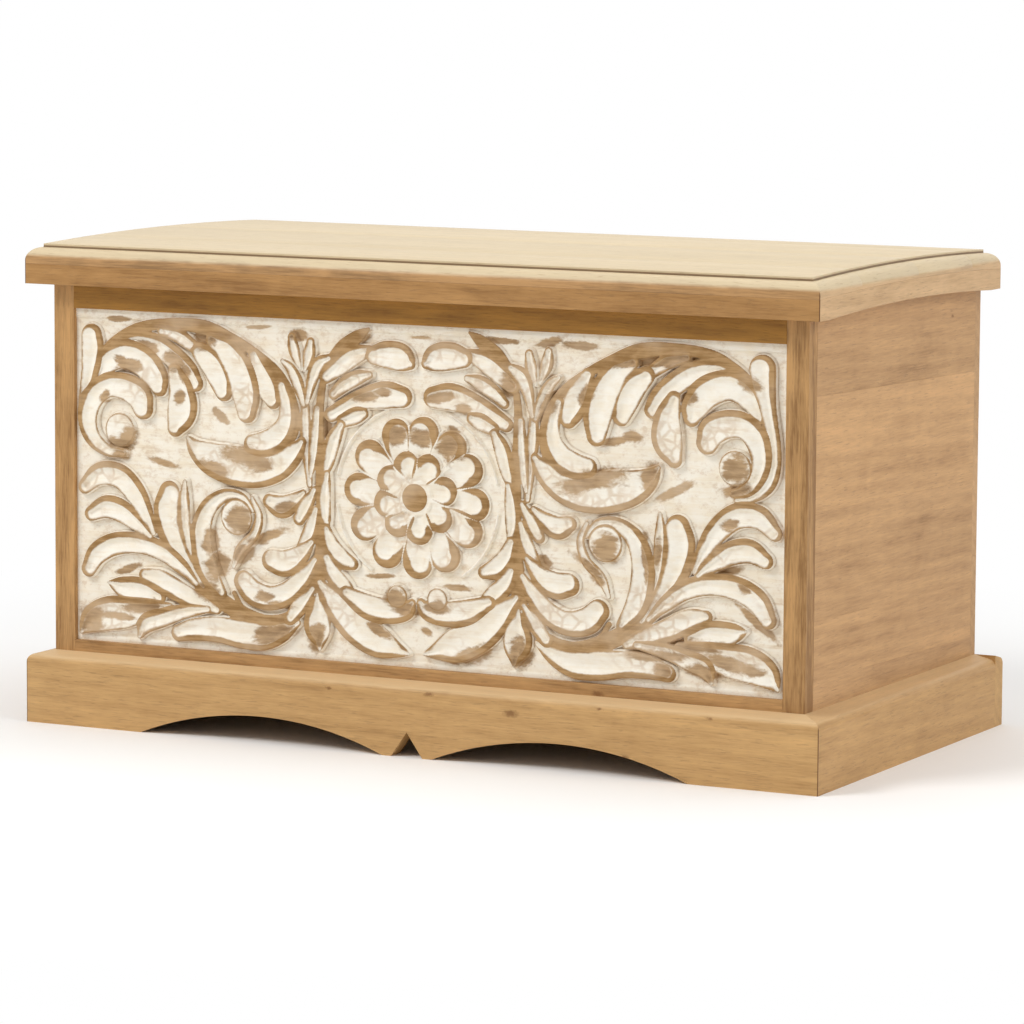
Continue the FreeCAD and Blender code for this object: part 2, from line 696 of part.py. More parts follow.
# Plinth: mitred at the front, with the back board lapping the ends of the sides
outer = ("-(plinth_side)", "plinth_side")
inner = ("-(body_side)", "body_side")
edge_z = ("0", "plinth_edge")
top_z = ("0", "plinth_height")


def top_outer_edge(edge):
    """Whether an edge runs level along the top of a plinth board's outer face."""
    level = number("plinth_edge")
    near = number("plinth_round") / 2
    return all(abs(vertex.Z - level) < near for vertex in edge.Vertexes)


front_blank = wedge("plinth_front_blank", ("plinth_front", "body_front"), outer, inner, edge_z, top_z)
front_moulded = rounded("plinth_front_moulded", front_blank, "plinth_round",
                        "plinth_front_thickness", top_outer_edge)
through_front = ("plinth_front - overrun", "body_front + overrun")
arches = [bar_along_y(f"apron_arch_{count}", "apron_radius", middle, through_front,
                      "apron_rise - apron_radius")
          for count, middle in enumerate(("-(apron_middle)", "apron_middle"), start=1)]
notch = turned(doc.addObject("Part::Wedge", "apron_notch"), ACROSS, 1)
bind(notch, Ymin="0", Ymax="notch_height", Xmin="-notch_half", Xmax="notch_half", X2min="0", X2max="0",
     Zmin="-(body_front)", Zmax="-(plinth_front)", Z2min="-(body_front)", Z2max="-(plinth_front)")
piece(cut("plinth_front", front_moulded, *arches, notch))
for hand, turns, near_x, far_x in (
        ("left", -1, ("-(body_back)", "-(plinth_front)"), ("-(body_back)", "-(body_front)")),
        ("right", 1, ("plinth_front", "body_back"), ("body_front", "body_back"))):
    blank = wedge(f"plinth_{hand}_blank", ("-(plinth_side)", "-(body_side)"), near_x, far_x,
                  edge_z, top_z, turns)
    piece(rounded(f"plinth_{hand}", blank, "plinth_round", "plinth_side_thickness", top_outer_edge))
back_blank = wedge("plinth_back_blank", ("-(plinth_back)", "-(body_back)"), outer, outer,
                   edge_z, top_z, 2)
piece(rounded("plinth_back", back_blank, "plinth_round", "plinth_back_thickness", top_outer_edge))

# Glue blocks inside the plinth's corners, which carry the chest
blocks = []
for place, y, turns in (("front", ("body_front", "body_front + block_leg"), 0),
                        ("back", ("-(body_back)", "block_leg - (body_back)"), 2)):
    for hand in HANDS:
        drawn = hand if turns == 0 else HANDS[hand == "left"]
        long_side = on_side(drawn, "body_side - block_leg", "body_side")
        corner = on_side(drawn, "body_side", "body_side")
        height = ("0", "carcass_base")
        blocks.append(wedge(f"{place}_{hand}_corner_block", y, long_side, corner, height, height, turns))
piece(group("plinth_corner_blocks", blocks))

# Lid skirts, mitred at all four corners
skirt_z = ("rim_height", "skirt_top + crown_rise + overrun")
lid_ends = ("-(lid_side)", "lid_side")
skirt_ends = ("-(skirt_inside)", "skirt_inside")
front_mitred = wedge("lid_front_mitred", ("lid_front", "lid_front + skirt_width"),
                     lid_ends, skirt_ends, skirt_z, skirt_z)
back_mitred = wedge("lid_back_mitred", ("lid_back - skirt_width", "lid_back"),
                    skirt_ends, lid_ends, skirt_z, skirt_z)
between_walls = box("between_walls", ("-(wall_inside)", "wall_inside"), ("lid_front", "lid_back"),
                    ("rim_height - overrun", "rim_height + arch_rise + overrun"))
arch_over_walls = cut("arch_over_walls", skirt_arch, between_walls)
piece(shared("lid_front_skirt", front_mitred, crown))
back_let_in = cut("lid_back_let_in", back_mitred, *lid_mortises, lid_hinge_holes, arch_over_walls)
piece(shared("lid_back_skirt", back_let_in, crown))
for hand in HANDS:
    blank = box(f"lid_{hand}_skirt_blank", on_side(hand, "skirt_inside", "lid_side"),
                ("lid_front", "lid_back"), skirt_z)
    tools = [front_mitred, back_mitred, skirt_arch]
    if hand == "left":
        tools.append(stay_lid_holes)
    piece(shared(f"lid_{hand}_skirt", cut(f"lid_{hand}_skirt_arched", blank, *tools), crown))
for hand in HANDS:
    x = on_side(hand, "(batten_spacing - batten_width) / 2", "(batten_spacing + batten_width) / 2")
    blank = box(f"lid_{hand}_batten_blank", x, ("lid_front + skirt_width", "lid_back - skirt_width"),
                ("rim_height + batten_clearance", "skirt_top + crown_rise + overrun"))
    piece(shared(f"lid_{hand}_batten", blank, crown))

# Lid planks, sawn from one crowned slab with a rounded edge and a raised field
slab_block = box("slab_block", lid_ends, ("lid_front", "lid_back"), ("rim_height", "lid_top + overrun"))
slab = cut("slab", shared("slab_outside", slab_block, slab_crown), crown)


def slab_top_edge(edge):
    """Whether an edge lies wholly in the upper half of the slab."""
    middle = number("skirt_top + slab_thickness / 2 + crown_rise / 4")
    return min(vertex.Z for vertex in edge.Vertexes) > middle


slab_moulded = rounded("slab_moulded", slab, "edge_round", "slab_thickness", slab_top_edge)
field_block = box("field_block", ("-(lid_side - field_inset)", "lid_side - field_inset"),
                  ("lid_front + field_inset", "lid_back - field_inset"), ("rim_height", "lid_top + overrun"))
field = cut("field", shared("field_outside", field_block, field_crown), crown)
whole_top = joined("whole_top", slab_moulded, field)
plank_seams = ["lid_front - overrun"] + [f"lid_front + {share} * lid_depth" for share in PLANK_SEAM_SHARES]
plank_seams.append("lid_back + overrun")
for count, seam_pair in enumerate(zip(plank_seams, plank_seams[1:]), start=1):
    strip = box(f"lid_strip_{count}", full_lid, seam_pair, ("rim_height", "lid_top + overrun"))
    piece(shared(f"lid_plank_{count}", whole_top, strip))


# Folding stay
def arm_blank(name, start, end, length, low, high):
    """A straight arm between two places in the side view, rounded at both ends."""
    (y_start, z_start), (y_end, z_end) = start, end
    aside_y = f"(({z_end}) - ({z_start})) / ({length}) * stay_arm_width / 2"
    aside_z = f"(({y_end}) - ({y_start})) / ({length}) * stay_arm_width / 2"
    corners = [(f"{y_start} + {aside_y}", f"{z_start} - {aside_z}"),
               (f"{y_start} - {aside_y}", f"{z_start} + {aside_z}"),
               (f"{y_end} - {aside_y}", f"{z_end} + {aside_z}"),
               (f"{y_end} + {aside_y}", f"{z_end} - {aside_z}")]
    strip = bind(padded(name + "_strip", "YZ_Plane", corners, f"({high}) - ({low})"), base_x=low)
    ends = [bar_along_x(f"{name}_end_{count}", "stay_arm_width / 2", (low, high), y, z)
            for count, (y, z) in enumerate((start, end), start=1)]
    return [strip] + ends


foot = ("foot_y", "foot_z")
elbow = ("elbow_y", "elbow_z")
tail = ("tail_y", "tail_z")
lid_pivot = ("lid_pivot_y", "lid_pivot_z")
running_hole = "rivet_radius + running_clearance"
open_hole = "rivet_radius + rivet_head_gap"

plate = box("stay_chest_plate_blank", ("-(wall_inside)", "plate_inside"),
            ("foot_y - stay_plate_width / 2", "foot_y + stay_plate_width / 2"),
            ("foot_z - stay_plate_height / 2", "foot_z + stay_plate_height / 2"))
hole = bar_along_x("stay_chest_plate_hole", running_hole, ("-(wall_inside)", "plate_inside"), *foot)
piece(cut("stay_chest_plate", plate, hole, stay_chest_holes))

lower = arm_blank("stay_lower_arm", foot, tail, "lower_arm_length + tail_length",
                  "lower_arm_low", "lower_arm_high")
peg_run = ("lower_arm_low", "upper_arm_high")
lower.append(bar_along_x("stay_stop_peg", "stay_peg_radius", peg_run, *tail))
holes = [bar_along_x(f"stay_lower_arm_hole_{count}", running_hole, ("lower_arm_low", "lower_arm_high"), *spot)
         for count, spot in enumerate((foot, elbow), start=1)]
piece(cut("stay_lower_arm", joined("stay_lower_arm_blank", *lower), *holes))

upper = arm_blank("stay_upper_arm", elbow, lid_pivot, "upper_arm_length",
                  "upper_arm_low", "upper_arm_high")
upper_spots = ((running_hole, elbow), (open_hole, lid_pivot))
holes = [bar_along_x(f"stay_upper_arm_hole_{count}", size, ("upper_arm_low", "upper_arm_high"), *spot)
         for count, (size, spot) in enumerate(upper_spots, start=1)]
piece(cut("stay_upper_arm", joined("stay_upper_arm_blank", *upper), *holes))

ear_plate = box("stay_ear_plate", ("ear_low", "ear_high"),
                ("lid_pivot_y - stay_ear_width / 2", "lid_pivot_y + stay_ear_width / 2"),
                ("ear_low_edge", "ear_top"))
ear_tongue = box("stay_ear_tongue", ("ear_low", "ear_high"),
                 ("lid_pivot_y - stay_arm_width / 2", "lid_pivot_y + stay_arm_width / 2"),
                 ("lid_pivot_z", "ear_top"))
ear_end = bar_along_x("stay_ear_end", "stay_arm_width / 2", ("ear_low", "ear_high"), *lid_pivot)
hole = bar_along_x("stay_ear_hole", running_hole, ("ear_low", "ear_high"), *lid_pivot)
piece(cut("stay_lid_ear", joined("stay_ear_blank", ear_plate, ear_tongue, ear_end), hole, stay_lid_holes))


def rivet(name, ends, heads, spot):
    """A rivet between two rules, with a round head on each face that the heads name."""
    head_runs = {"low": (f"{ends[0]} - rivet_head_height", ends[0]),
                 "high": (ends[1], f"{ends[1]} + rivet_head_height")}
    parts = [bar_along_x(f"{name}_{head}_head", "rivet_head_radius", head_runs[head], *spot)
             for head in heads]
    return piece(joined(name, bar_along_x(name + "_shank", "rivet_radius", ends, *spot), *parts))


rivet("stay_foot_rivet", ("-(wall_inside)", "lower_arm_high + rivet_head_gap"), ("high",), foot)
rivet("stay_elbow_rivet", ("lower_arm_low", "upper_arm_high + rivet_head_gap"), ("low", "high"), elbow)
rivet("stay_lid_rivet", ("upper_arm_low - rivet_head_gap", "ear_high"), ("low", "high"), lid_pivot)

# Check every feature, then write each piece
doc.recompute()
failed = [thing.Name for thing in doc.Objects if {"Invalid", "Error"} & set(thing.State)]
failed += [thing.Name for thing in pieces if thing.Shape.isNull() or not thing.Shape.isValid()]
if failed:
    raise RuntimeError("These features failed: " + ", ".join(sorted(set(failed))))
for thing in pieces:
    thing.Shape.exportStep(f"parts/{thing.Label}.step")
print(len(pieces), "pieces,", sum(len(thing.Shape.Solids) for thing in pieces), "solids")
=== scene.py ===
# %% [markdown]
# # A carved trunk, dressed in Blender
# The construction comes in as a fixed frame of named wooden boards and small metal parts, at
# real size. This file gives each board its own piece of timber, cuts the carved panel, and
# sets up the studio. Nothing here moves a board: a new piece stands where the frame says.

# %% Load the frame
import math
import bpy
import numpy as np
from mathutils import Matrix, Vector


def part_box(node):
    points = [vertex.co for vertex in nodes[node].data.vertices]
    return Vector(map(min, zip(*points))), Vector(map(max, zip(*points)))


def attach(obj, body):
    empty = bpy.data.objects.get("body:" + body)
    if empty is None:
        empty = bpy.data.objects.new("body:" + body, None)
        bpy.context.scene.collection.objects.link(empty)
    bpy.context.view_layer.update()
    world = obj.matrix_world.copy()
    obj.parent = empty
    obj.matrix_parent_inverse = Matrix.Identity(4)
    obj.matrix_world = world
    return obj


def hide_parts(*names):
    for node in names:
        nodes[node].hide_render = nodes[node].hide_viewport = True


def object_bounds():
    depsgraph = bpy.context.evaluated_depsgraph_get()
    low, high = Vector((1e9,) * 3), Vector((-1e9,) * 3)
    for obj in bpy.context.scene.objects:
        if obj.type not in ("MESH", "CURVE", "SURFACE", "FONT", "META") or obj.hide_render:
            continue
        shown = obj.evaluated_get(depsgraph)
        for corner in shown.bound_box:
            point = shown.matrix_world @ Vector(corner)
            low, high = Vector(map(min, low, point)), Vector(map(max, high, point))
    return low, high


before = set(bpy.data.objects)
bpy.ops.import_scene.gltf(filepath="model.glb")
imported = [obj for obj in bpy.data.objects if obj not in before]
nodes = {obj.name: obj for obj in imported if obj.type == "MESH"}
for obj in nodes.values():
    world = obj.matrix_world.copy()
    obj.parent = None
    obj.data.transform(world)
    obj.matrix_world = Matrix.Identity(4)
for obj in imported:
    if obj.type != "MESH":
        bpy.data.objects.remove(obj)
built_low, built_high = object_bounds()
MM = 0.001

# %% [markdown]
# ## The camera
# The trunk is seen from its right front corner, a little above the lid, through a long lens.
# A camera could be aimed with a Track To constraint, but a matrix built from the view's own
# angles keeps yaw, pitch and roll as three numbers that can be read.

# %% Camera
CAMERA_PLACE = Vector((2.3673, -4.6443, 0.8758))
CAMERA_YAW, CAMERA_PITCH, CAMERA_ROLL = 0.4722, 0.1142, 0.0060
PICTURE_SIDE = 1024
FOCAL_PIXELS = 5014.3
OPTICAL_CENTRE_ROW = 460.8
FILM_WIDTH = 36.0
FAR_CLIP = 50.0


def make_camera():
    """A camera whose axes come from yaw, then pitch, then roll."""
    yaw_cos, yaw_sin = math.cos(CAMERA_YAW), math.sin(CAMERA_YAW)
    ahead = Vector((-yaw_sin * math.cos(CAMERA_PITCH), yaw_cos * math.cos(CAMERA_PITCH),
                    -math.sin(CAMERA_PITCH)))
    level = Vector((yaw_cos, yaw_sin, 0))
    upright = level.cross(ahead)
    right = math.cos(CAMERA_ROLL) * level + math.sin(CAMERA_ROLL) * upright
    up = math.cos(CAMERA_ROLL) * upright - math.sin(CAMERA_ROLL) * level
    lens = bpy.data.cameras.new("camera")
    lens.sensor_width = FILM_WIDTH
    lens.lens = FOCAL_PIXELS / PICTURE_SIDE * FILM_WIDTH
    lens.shift_y = (OPTICAL_CENTRE_ROW - PICTURE_SIDE / 2) / PICTURE_SIDE
    lens.clip_end = FAR_CLIP
    camera = bpy.data.objects.new("camera", lens)
    axes = Matrix((right, up, -ahead)).transposed()
    camera.matrix_world = Matrix.Translation(CAMERA_PLACE) @ axes.to_4x4()
    bpy.context.scene.collection.objects.link(camera)
    bpy.context.scene.camera = camera
    return camera


camera = make_camera()
print("lens:", round(camera.data.lens, 1), "mm")

# %% [markdown]
# ## Writing shaders as sums
# A wood finish is a sum of noises, so its nodes read best as arithmetic. One small class
# wraps a socket and turns + - * into Math nodes, and one method adds any other node.


# %% A socket with arithmetic
class Socket:
    """A shader socket that Python's operators work on."""

    def __init__(self, finish, link):
        self.finish = finish
        self.link = link

    def math(self, operation, first, second):
        return self.finish.add("ShaderNodeMath", {"operation": operation}, {0: first, 1: second})

    def __add__(self, other):
        return self.math("ADD", self, other)

    def __sub__(self, other):
        return self.math("SUBTRACT", self, other)

    def __rsub__(self, other):
        return self.math("SUBTRACT", other, self)

    def __mul__(self, other):
        return self.math("MULTIPLY", self, other)

    def __abs__(self):
        return self.finish.add("ShaderNodeMath", {"operation": "ABSOLUTE"}, {0: self})

    def larger(self, other):
        return self.math("MAXIMUM", self, other)

    def smaller(self, other):
        return self.math("MINIMUM", self, other)

    def rise(self, low, high):
        """0 below low and 1 above high, with a smooth step between them."""
        return self.finish.add("ShaderNodeMapRange", {"interpolation_type": "SMOOTHSTEP"},
                               {0: self, 1: low, 2: high, 3: 0.0, 4: 1.0})

    __radd__ = __add__
    __rmul__ = __mul__


print("sockets take + - * abs, larger, smaller and rise")


# %% A tree of nodes, and a finish
SHEEN_LEVEL = 0.30


class Nodes:
    """A tree of nodes, of a material or of the world."""

    def __init__(self, tree):
        self.tree = tree

    def add(self, kind, settings=None, sockets=None, out=0):
        """Add a node: its settings first, then the values or links of its sockets."""
        node = self.tree.nodes.new(kind)
        for key, value in (settings or {}).items():
            if key == "stops":
                set_stops(node.color_ramp, value)
            else:
                setattr(node, key, value)
        for key, value in (sockets or {}).items():
            self.plug(node.inputs[key], value)
        return Socket(self, node.outputs[out])

    def plug(self, entry, value):
        """Link a socket to an input, or write a plain value on it."""
        if isinstance(value, Socket):
            self.tree.links.new(value.link, entry)
        else:
            entry.default_value = value

    def seen(self):
        """1 for the camera's own rays, in reflections and through glass, and 0 for other light."""
        camera, glossy, through = (self.add("ShaderNodeLightPath", out=f"Is {ray} Ray")
                                   for ray in ("Camera", "Glossy", "Transmission"))
        return camera.larger(glossy).larger(through)

    def place(self):
        """Where a point lies on the trunk, in metres."""
        return self.add("ShaderNodeTexCoord", out="Object")

    def split(self, place):
        """The X, Y and Z of a place as three sockets."""
        outputs = self.add("ShaderNodeSeparateXYZ", None, {"Vector": place}).link.node.outputs
        return [Socket(self, outputs[axis]) for axis in "XYZ"]

    def vector(self, operation, first, second=(0, 0, 0), out=0):
        """A Vector Math node."""
        return self.add("ShaderNodeVectorMath", {"operation": operation}, {0: first, 1: second}, out)

    def ramp(self, value, colours):
        """A colour by a value, from pairs of a value and its colour."""
        return self.add("ShaderNodeValToRGB", {"stops": colours}, {0: value})

    def mix(self, first, second, factor):
        """One colour over another by a factor."""
        return self.add("ShaderNodeMix", {"data_type": "RGBA"}, {0: factor, 6: first, 7: second}, out=2)

    def noise(self, vector, stretch, detail=4.0, roughness=0.55, distortion=0.0):
        """Noise whose cells are longer where the stretch is smaller, in cells to the metre."""
        return self.add("ShaderNodeTexNoise", None, {
            "Vector": self.vector("MULTIPLY", vector, stretch), "Scale": 1.0, "Detail": detail,
            "Roughness": roughness, "Distortion": distortion})


class Finish(Nodes):
    """A material, and the nodes that lead to its one Principled shader."""

    def __init__(self, name, roughness):
        self.material = bpy.data.materials.new(name)
        self.material.use_nodes = True
        super().__init__(self.material.node_tree)
        self.shader = self.tree.nodes["Principled BSDF"]
        self.shader.inputs["Roughness"].default_value = roughness
        self.shader.inputs["Specular IOR Level"].default_value = SHEEN_LEVEL

    def feed(self, **inputs):
        """Feed the shader: base_color=... goes to its Base Color."""
        for key, value in inputs.items():
            self.plug(self.shader.inputs[key.replace("_", " ").title()], value)

    def bump(self, height, strength, distance):
        """Feed the shader's normal from a height."""
        self.feed(normal=self.add("ShaderNodeBump", None, {
            "Height": height, "Strength": strength, "Distance": distance}))


def set_stops(ramp, stops):
    """Give a colour ramp its stops, as pairs of a value and a colour."""
    while len(ramp.elements) < len(stops):
        ramp.elements.new(0.5)
    for element, (value, colour) in zip(ramp.elements, stops):
        element.position = value
        element.color = colour


print("finishes can add nodes")


# %% Colours
def paint(red, green, blue):
    """A colour written as it shows on a screen, from 0 to 255, as linear light."""
    def linear(channel):
        share = channel / 255
        return share / 12.92 if share <= 0.04045 else ((share + 0.055) / 1.055) ** 2.4
    return (linear(red), linear(green), linear(blue), 1.0)


def shaded(colour, factor):
    """A colour made lighter or darker."""
    return tuple(channel * factor for channel in colour[:3]) + (1.0,)


def deepened(colour, factor):
    """A colour made darker and warmer, as the dark lines of wood are."""
    return (colour[0] * factor, colour[1] * factor ** 1.2, colour[2] * factor ** 1.5, 1.0)


print("mid grey is", round(paint(128, 128, 128)[0], 3), "in linear light")

# %% [markdown]
# ## Timber
# The trunk is made of a pale, close-grained hardwood under a thin matt finish. Its colour
# drifts in long wavy bands, with growth lines, fine fibres, tiny pores and a few knots.
# Noise stretched along the grain gives all of them, and each board reads it at its own place
# and in its own direction, so that two boards never carry the same figure across a joint.

# %% The figure of the wood
GRAIN_TURNS = {"x": (0, 0, 0), "y": (0, 0, -math.pi / 2), "z": (0, math.pi / 2, 0)}
BAND_STRETCH = (1.6, 15.0, 15.0)
RING_STRETCH = (2.2, 36.0, 36.0)
RING_WANDER = 9.0
STREAK_STRETCH = (5.0, 130.0, 130.0)
FIBRE_STRETCH = (36.0, 560.0, 560.0)
MOTTLE_STRETCH = (12.0, 22.0, 22.0)
RIPPLE_STRETCH = (75.0, 8.0, 8.0)
PORE_STRETCH = (60.0, 900.0, 900.0)
FIGURE_SHARES = {"bands": 0.28, "rings": 0.045, "streaks": 0.17, "fibres": 0.26, "mottle": 0.21,
                 "ripple": 0.035}
PORE_RANGE = (0.59, 0.70)
PLACE_SHIFT = (1.0, 1.7, 0.6)
KNOT_LENGTH = 2.2
KNOT_FRAY = 4.0 * MM
KNOT_BROWN = paint(112, 70, 32)


def along_grain(finish, place, along, shift):
    """The place turned so that its X runs along the grain, and moved to a spot of its own."""
    return finish.add("ShaderNodeMapping", None, {"Vector": place, "Rotation": GRAIN_TURNS[along],
                                                  "Location": [shift * s for s in PLACE_SHIFT]})


def timber_figure(finish, turned):
    """How dark the wood is, around one half, with its streaks and its pores."""
    parts = {
        "bands": finish.noise(turned, BAND_STRETCH, detail=4, distortion=1.3),
        "rings": finish.add("ShaderNodeTexWave", {"bands_direction": "DIAGONAL"}, {
            "Vector": finish.vector("MULTIPLY", turned, RING_STRETCH), "Scale": 1.0,
            "Distortion": RING_WANDER, "Detail": 3.0, "Detail Scale": 0.10}, out="Fac"),
        "streaks": finish.noise(turned, STREAK_STRETCH, detail=4, roughness=0.6),
        "fibres": finish.noise(turned, FIBRE_STRETCH, detail=3, roughness=0.6),
        "mottle": finish.noise(turned, MOTTLE_STRETCH, detail=4, distortion=0.8),
        "ripple": finish.noise(turned, RIPPLE_STRETCH, detail=3, distortion=0.5),
    }
    pores = finish.noise(turned, PORE_STRETCH, detail=2).rise(*PORE_RANGE)
    figure = sum(parts[name] * share for name, share in FIGURE_SHARES.items())
    return figure, parts["streaks"] * 0.5 + parts["fibres"] * 0.5, pores


def knot_mask(finish, place, knots, along):
    """Ragged dark ovals, longer along the grain, at the given places."""
    squeeze = [1 / KNOT_LENGTH if axis == along else 1.0 for axis in "xyz"]
    fray = (finish.noise(place, (300.0, 300.0, 300.0), detail=3) - 0.5) * KNOT_FRAY
    total = None
    for x, y, z, radius in knots:
        oval = finish.vector("MULTIPLY", finish.vector("SUBTRACT", place, (x, y, z)), squeeze)
        reach = finish.vector("LENGTH", oval, out="Value")
        spot = 1 - (reach + fray).rise(radius * 0.2, radius * 1.1)
        total = spot if total is None else total.larger(spot)
    return total


print("figure of the wood ready")

# %% [markdown]
# ## Edges and seams
# A rounded top edge is painted paler, a painted highlight where it faces the lamps above, and a thin dark
# line of grime gathers in a mitre. Both follow from distances to the board's own faces, so a small
# measure of place is all they need.

# %% Wood finish
HIGHLIGHT_WOOD = paint(236, 206, 162)
# The brown of the dark lines in mitres, and of the painted shade at the foot of the lid's field.
SEAM_AND_SHADE_BROWN = paint(96, 60, 26)
SEAM_SHARE, PORE_SHARE, KNOT_SHARE = 0.85, 0.40, 0.72
HIGHLIGHT_FRAY = 5.0 * MM
WOOD_ROUGHNESS, LID_ROUGHNESS = 0.53, 0.46
ROUGHNESS_SWING = 0.16
GRAIN_DEPTH = 0.4 * MM


def corner_line(x, y, z, corner):
    """A thin dark line up the mitre at an end of a front edge, below a height."""
    side, front, high = corner
    across = (side - abs(x)).larger(y - front)
    return (1 - across.rise(0.5 * MM, 1.1 * MM)) * (1 - z.rise(high - 1.5 * MM, high))


def close(finish, colour, fibres, pores, roughness, bump):
    """Feed the wood's colour, its roughness and its grain to the shader."""
    finish.feed(base_color=colour, roughness=roughness + ROUGHNESS_SWING * (fibres - 0.5))
    finish.bump(fibres * 0.7 - pores * 0.8, bump, GRAIN_DEPTH)
    return finish.material


def wood(name, along, tint, shift, contrast, knots=(), highlight_above=None, corner=None):
    """Timber with its grain along an axis, and with its board's own marks."""
    finish = Finish(name, WOOD_ROUGHNESS)
    place = finish.place()
    figure, fibres, pores = timber_figure(finish, along_grain(finish, place, along, shift))
    spread = (figure - 0.5) * contrast + 0.5
    colour = finish.ramp(spread, [(0.26, deepened(tint, 0.62)), (0.42, deepened(tint, 0.88)),
                                  (0.54, tint), (0.72, shaded(tint, 1.20))])
    colour = finish.mix(colour, shaded(tint, 0.50), pores * PORE_SHARE)
    if highlight_above or corner:
        x, y, z = finish.split(place)
    if highlight_above:
        # Painted highlight: a paler band along the rounded top edge, where it faces the lamps above.
        low, high, strength = highlight_above
        worn = (z + (fibres - 0.5) * HIGHLIGHT_FRAY).rise(low, high)
        colour = finish.mix(colour, HIGHLIGHT_WOOD, worn * strength)
    if corner:
        colour = finish.mix(colour, SEAM_AND_SHADE_BROWN, corner_line(x, y, z, corner) * SEAM_SHARE)
    if knots:
        colour = finish.mix(colour, KNOT_BROWN, knot_mask(finish, place, knots, along) * KNOT_SHARE)
    return close(finish, colour, fibres, pores, WOOD_ROUGHNESS, 0.50)


print("wood finish ready")

# %% [markdown]
# ## The lid's top
# The lid is one slab of four planks. Its raised field has the grain along the trunk, and the moulded edge
# round it reads as a frame, with its grain along each side and a mitre at each corner. So the planks read
# a turned place wherever they are nearer to an end than to the front or the back. Above the rounding the
# planks are painted paler and yellower than the rest of the trunk, a painted highlight of the light on
# the top; below it the edge is browner, as the front is. A thin dark line of painted shade lies in the
# crease at the foot of the raised field.

# %% The lid's planks
# The top's tint is painted paler and yellower than the rest: painted highlight of the light from above.
LID_TOP_LIT_TINT = paint(215, 195, 159)
LID_EDGE_TINT = paint(190, 146, 96)
LID_END_TINT = paint(208, 172, 128)
FIELD_INSET = 14.0 * MM
SLAB_THICKNESS = 16.0 * MM
lid_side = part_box("lid_plank_1")[1].x
lid_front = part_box("lid_plank_1")[0].y
lid_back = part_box("lid_plank_4")[1].y
slab_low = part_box("lid_plank_1")[0].z
edge_high = slab_low + 0.55 * SLAB_THICKNESS
CROWN_RISE = 5.0 * MM
END_SHIFT = 3.1
FIELD_CONTRAST, EDGE_CONTRAST = 0.75, 2.2
EDGE_FRAY = 9.0 * MM


def lid_wood(name, shift, light):
    """Wood for a plank of the lid, with the moulded edge in its own direction."""
    finish = Finish(name, LID_ROUGHNESS)
    place = finish.place()
    x, y, z = finish.split(place)
    from_end = lid_side - abs(x)
    from_long = (y - lid_front).smaller(lid_back - y)
    edge_reach = from_end.smaller(from_long)
    on_edge = 1 - edge_reach.rise(FIELD_INSET, FIELD_INSET + 0.1 * MM)
    at_end = (from_long - from_end).rise(0.0, 0.2 * MM) * on_edge
    turned = finish.add("ShaderNodeMix", {"data_type": "VECTOR"}, {
        0: at_end, 4: along_grain(finish, place, "x", shift),
        5: along_grain(finish, place, "y", END_SHIFT)}, out=1)
    figure, fibres, pores = timber_figure(finish, turned)
    tint = shaded(LID_TOP_LIT_TINT, light)
    colour = finish.ramp((figure - 0.5) * FIELD_CONTRAST + 0.5, [
        (0.26, shaded(tint, 0.66)), (0.42, shaded(tint, 0.90)),
        (0.54, tint), (0.72, shaded(tint, 1.10))])
    brown = finish.mix(LID_EDGE_TINT, LID_END_TINT, at_end)
    dark = finish.mix(shaded(LID_EDGE_TINT, 0.55), shaded(LID_END_TINT, 0.72), at_end)
    edge = finish.mix(dark, brown, ((figure - 0.5) * EDGE_CONTRAST + 0.5).rise(0.20, 0.62))
    # Above the rounding the top keeps its painted highlight; below it the edge is browner.
    below = 1 - (z + (figure - 0.5) * EDGE_FRAY).rise(edge_high - 2.5 * MM, edge_high + 2.0 * MM)
    colour = finish.mix(colour, edge, below)
    colour = finish.mix(colour, shaded(LID_EDGE_TINT, 0.6), pores * 0.30)
    across = (y - (lid_front + lid_back) / 2) * (2 / (lid_back - lid_front))
    above_slab = z + across * across * CROWN_RISE - (slab_low + SLAB_THICKNESS + CROWN_RISE)
    # Painted shade: a thin dark line in the crease at the foot of the raised field.
    foot = 1 - abs(edge_reach - FIELD_INSET).rise(0.3 * MM, 1.0 * MM)
    foot = foot * (1 - abs(above_slab - 0.6 * MM).rise(0.8 * MM, 1.8 * MM))
    colour = finish.mix(colour, SEAM_AND_SHADE_BROWN, foot * 0.75)
    mitre = corner_line(x, y, z, (lid_side, lid_front, edge_high + 2.0 * MM))
    colour = finish.mix(colour, SEAM_AND_SHADE_BROWN, mitre * SEAM_SHARE)
    return close(finish, colour, fibres, pores, LID_ROUGHNESS, 0.30)


print("lid finish ready")

# %% [markdown]
# ## One finish to a board
# Stiles have their grain upright and rails along their length, as a joiner would cut them,
# and each board is a little lighter, darker or pinker than its neighbour. A table of boards
# keeps those choices in one place. The knots are where this trunk has them.

# %% Boards and their timber
FRAME_TINT = paint(180, 138, 88)
# The top rail is painted darker than the rest of the frame: painted shade of the lid's overhang.
RAIL_SHADE_TINT = paint(158, 112, 46)
SIDE_TINT = paint(195, 153, 106)
PLINTH_TINT = paint(200, 159, 105)
PLINTH_END_TINT = paint(197, 156, 104)
SKIRT_TINT = paint(175, 131, 79)
SKIRT_END_TINT = paint(206, 170, 127)
INSIDE_TINT = paint(186, 150, 108)
BACK_TINT = paint(194, 154, 110)

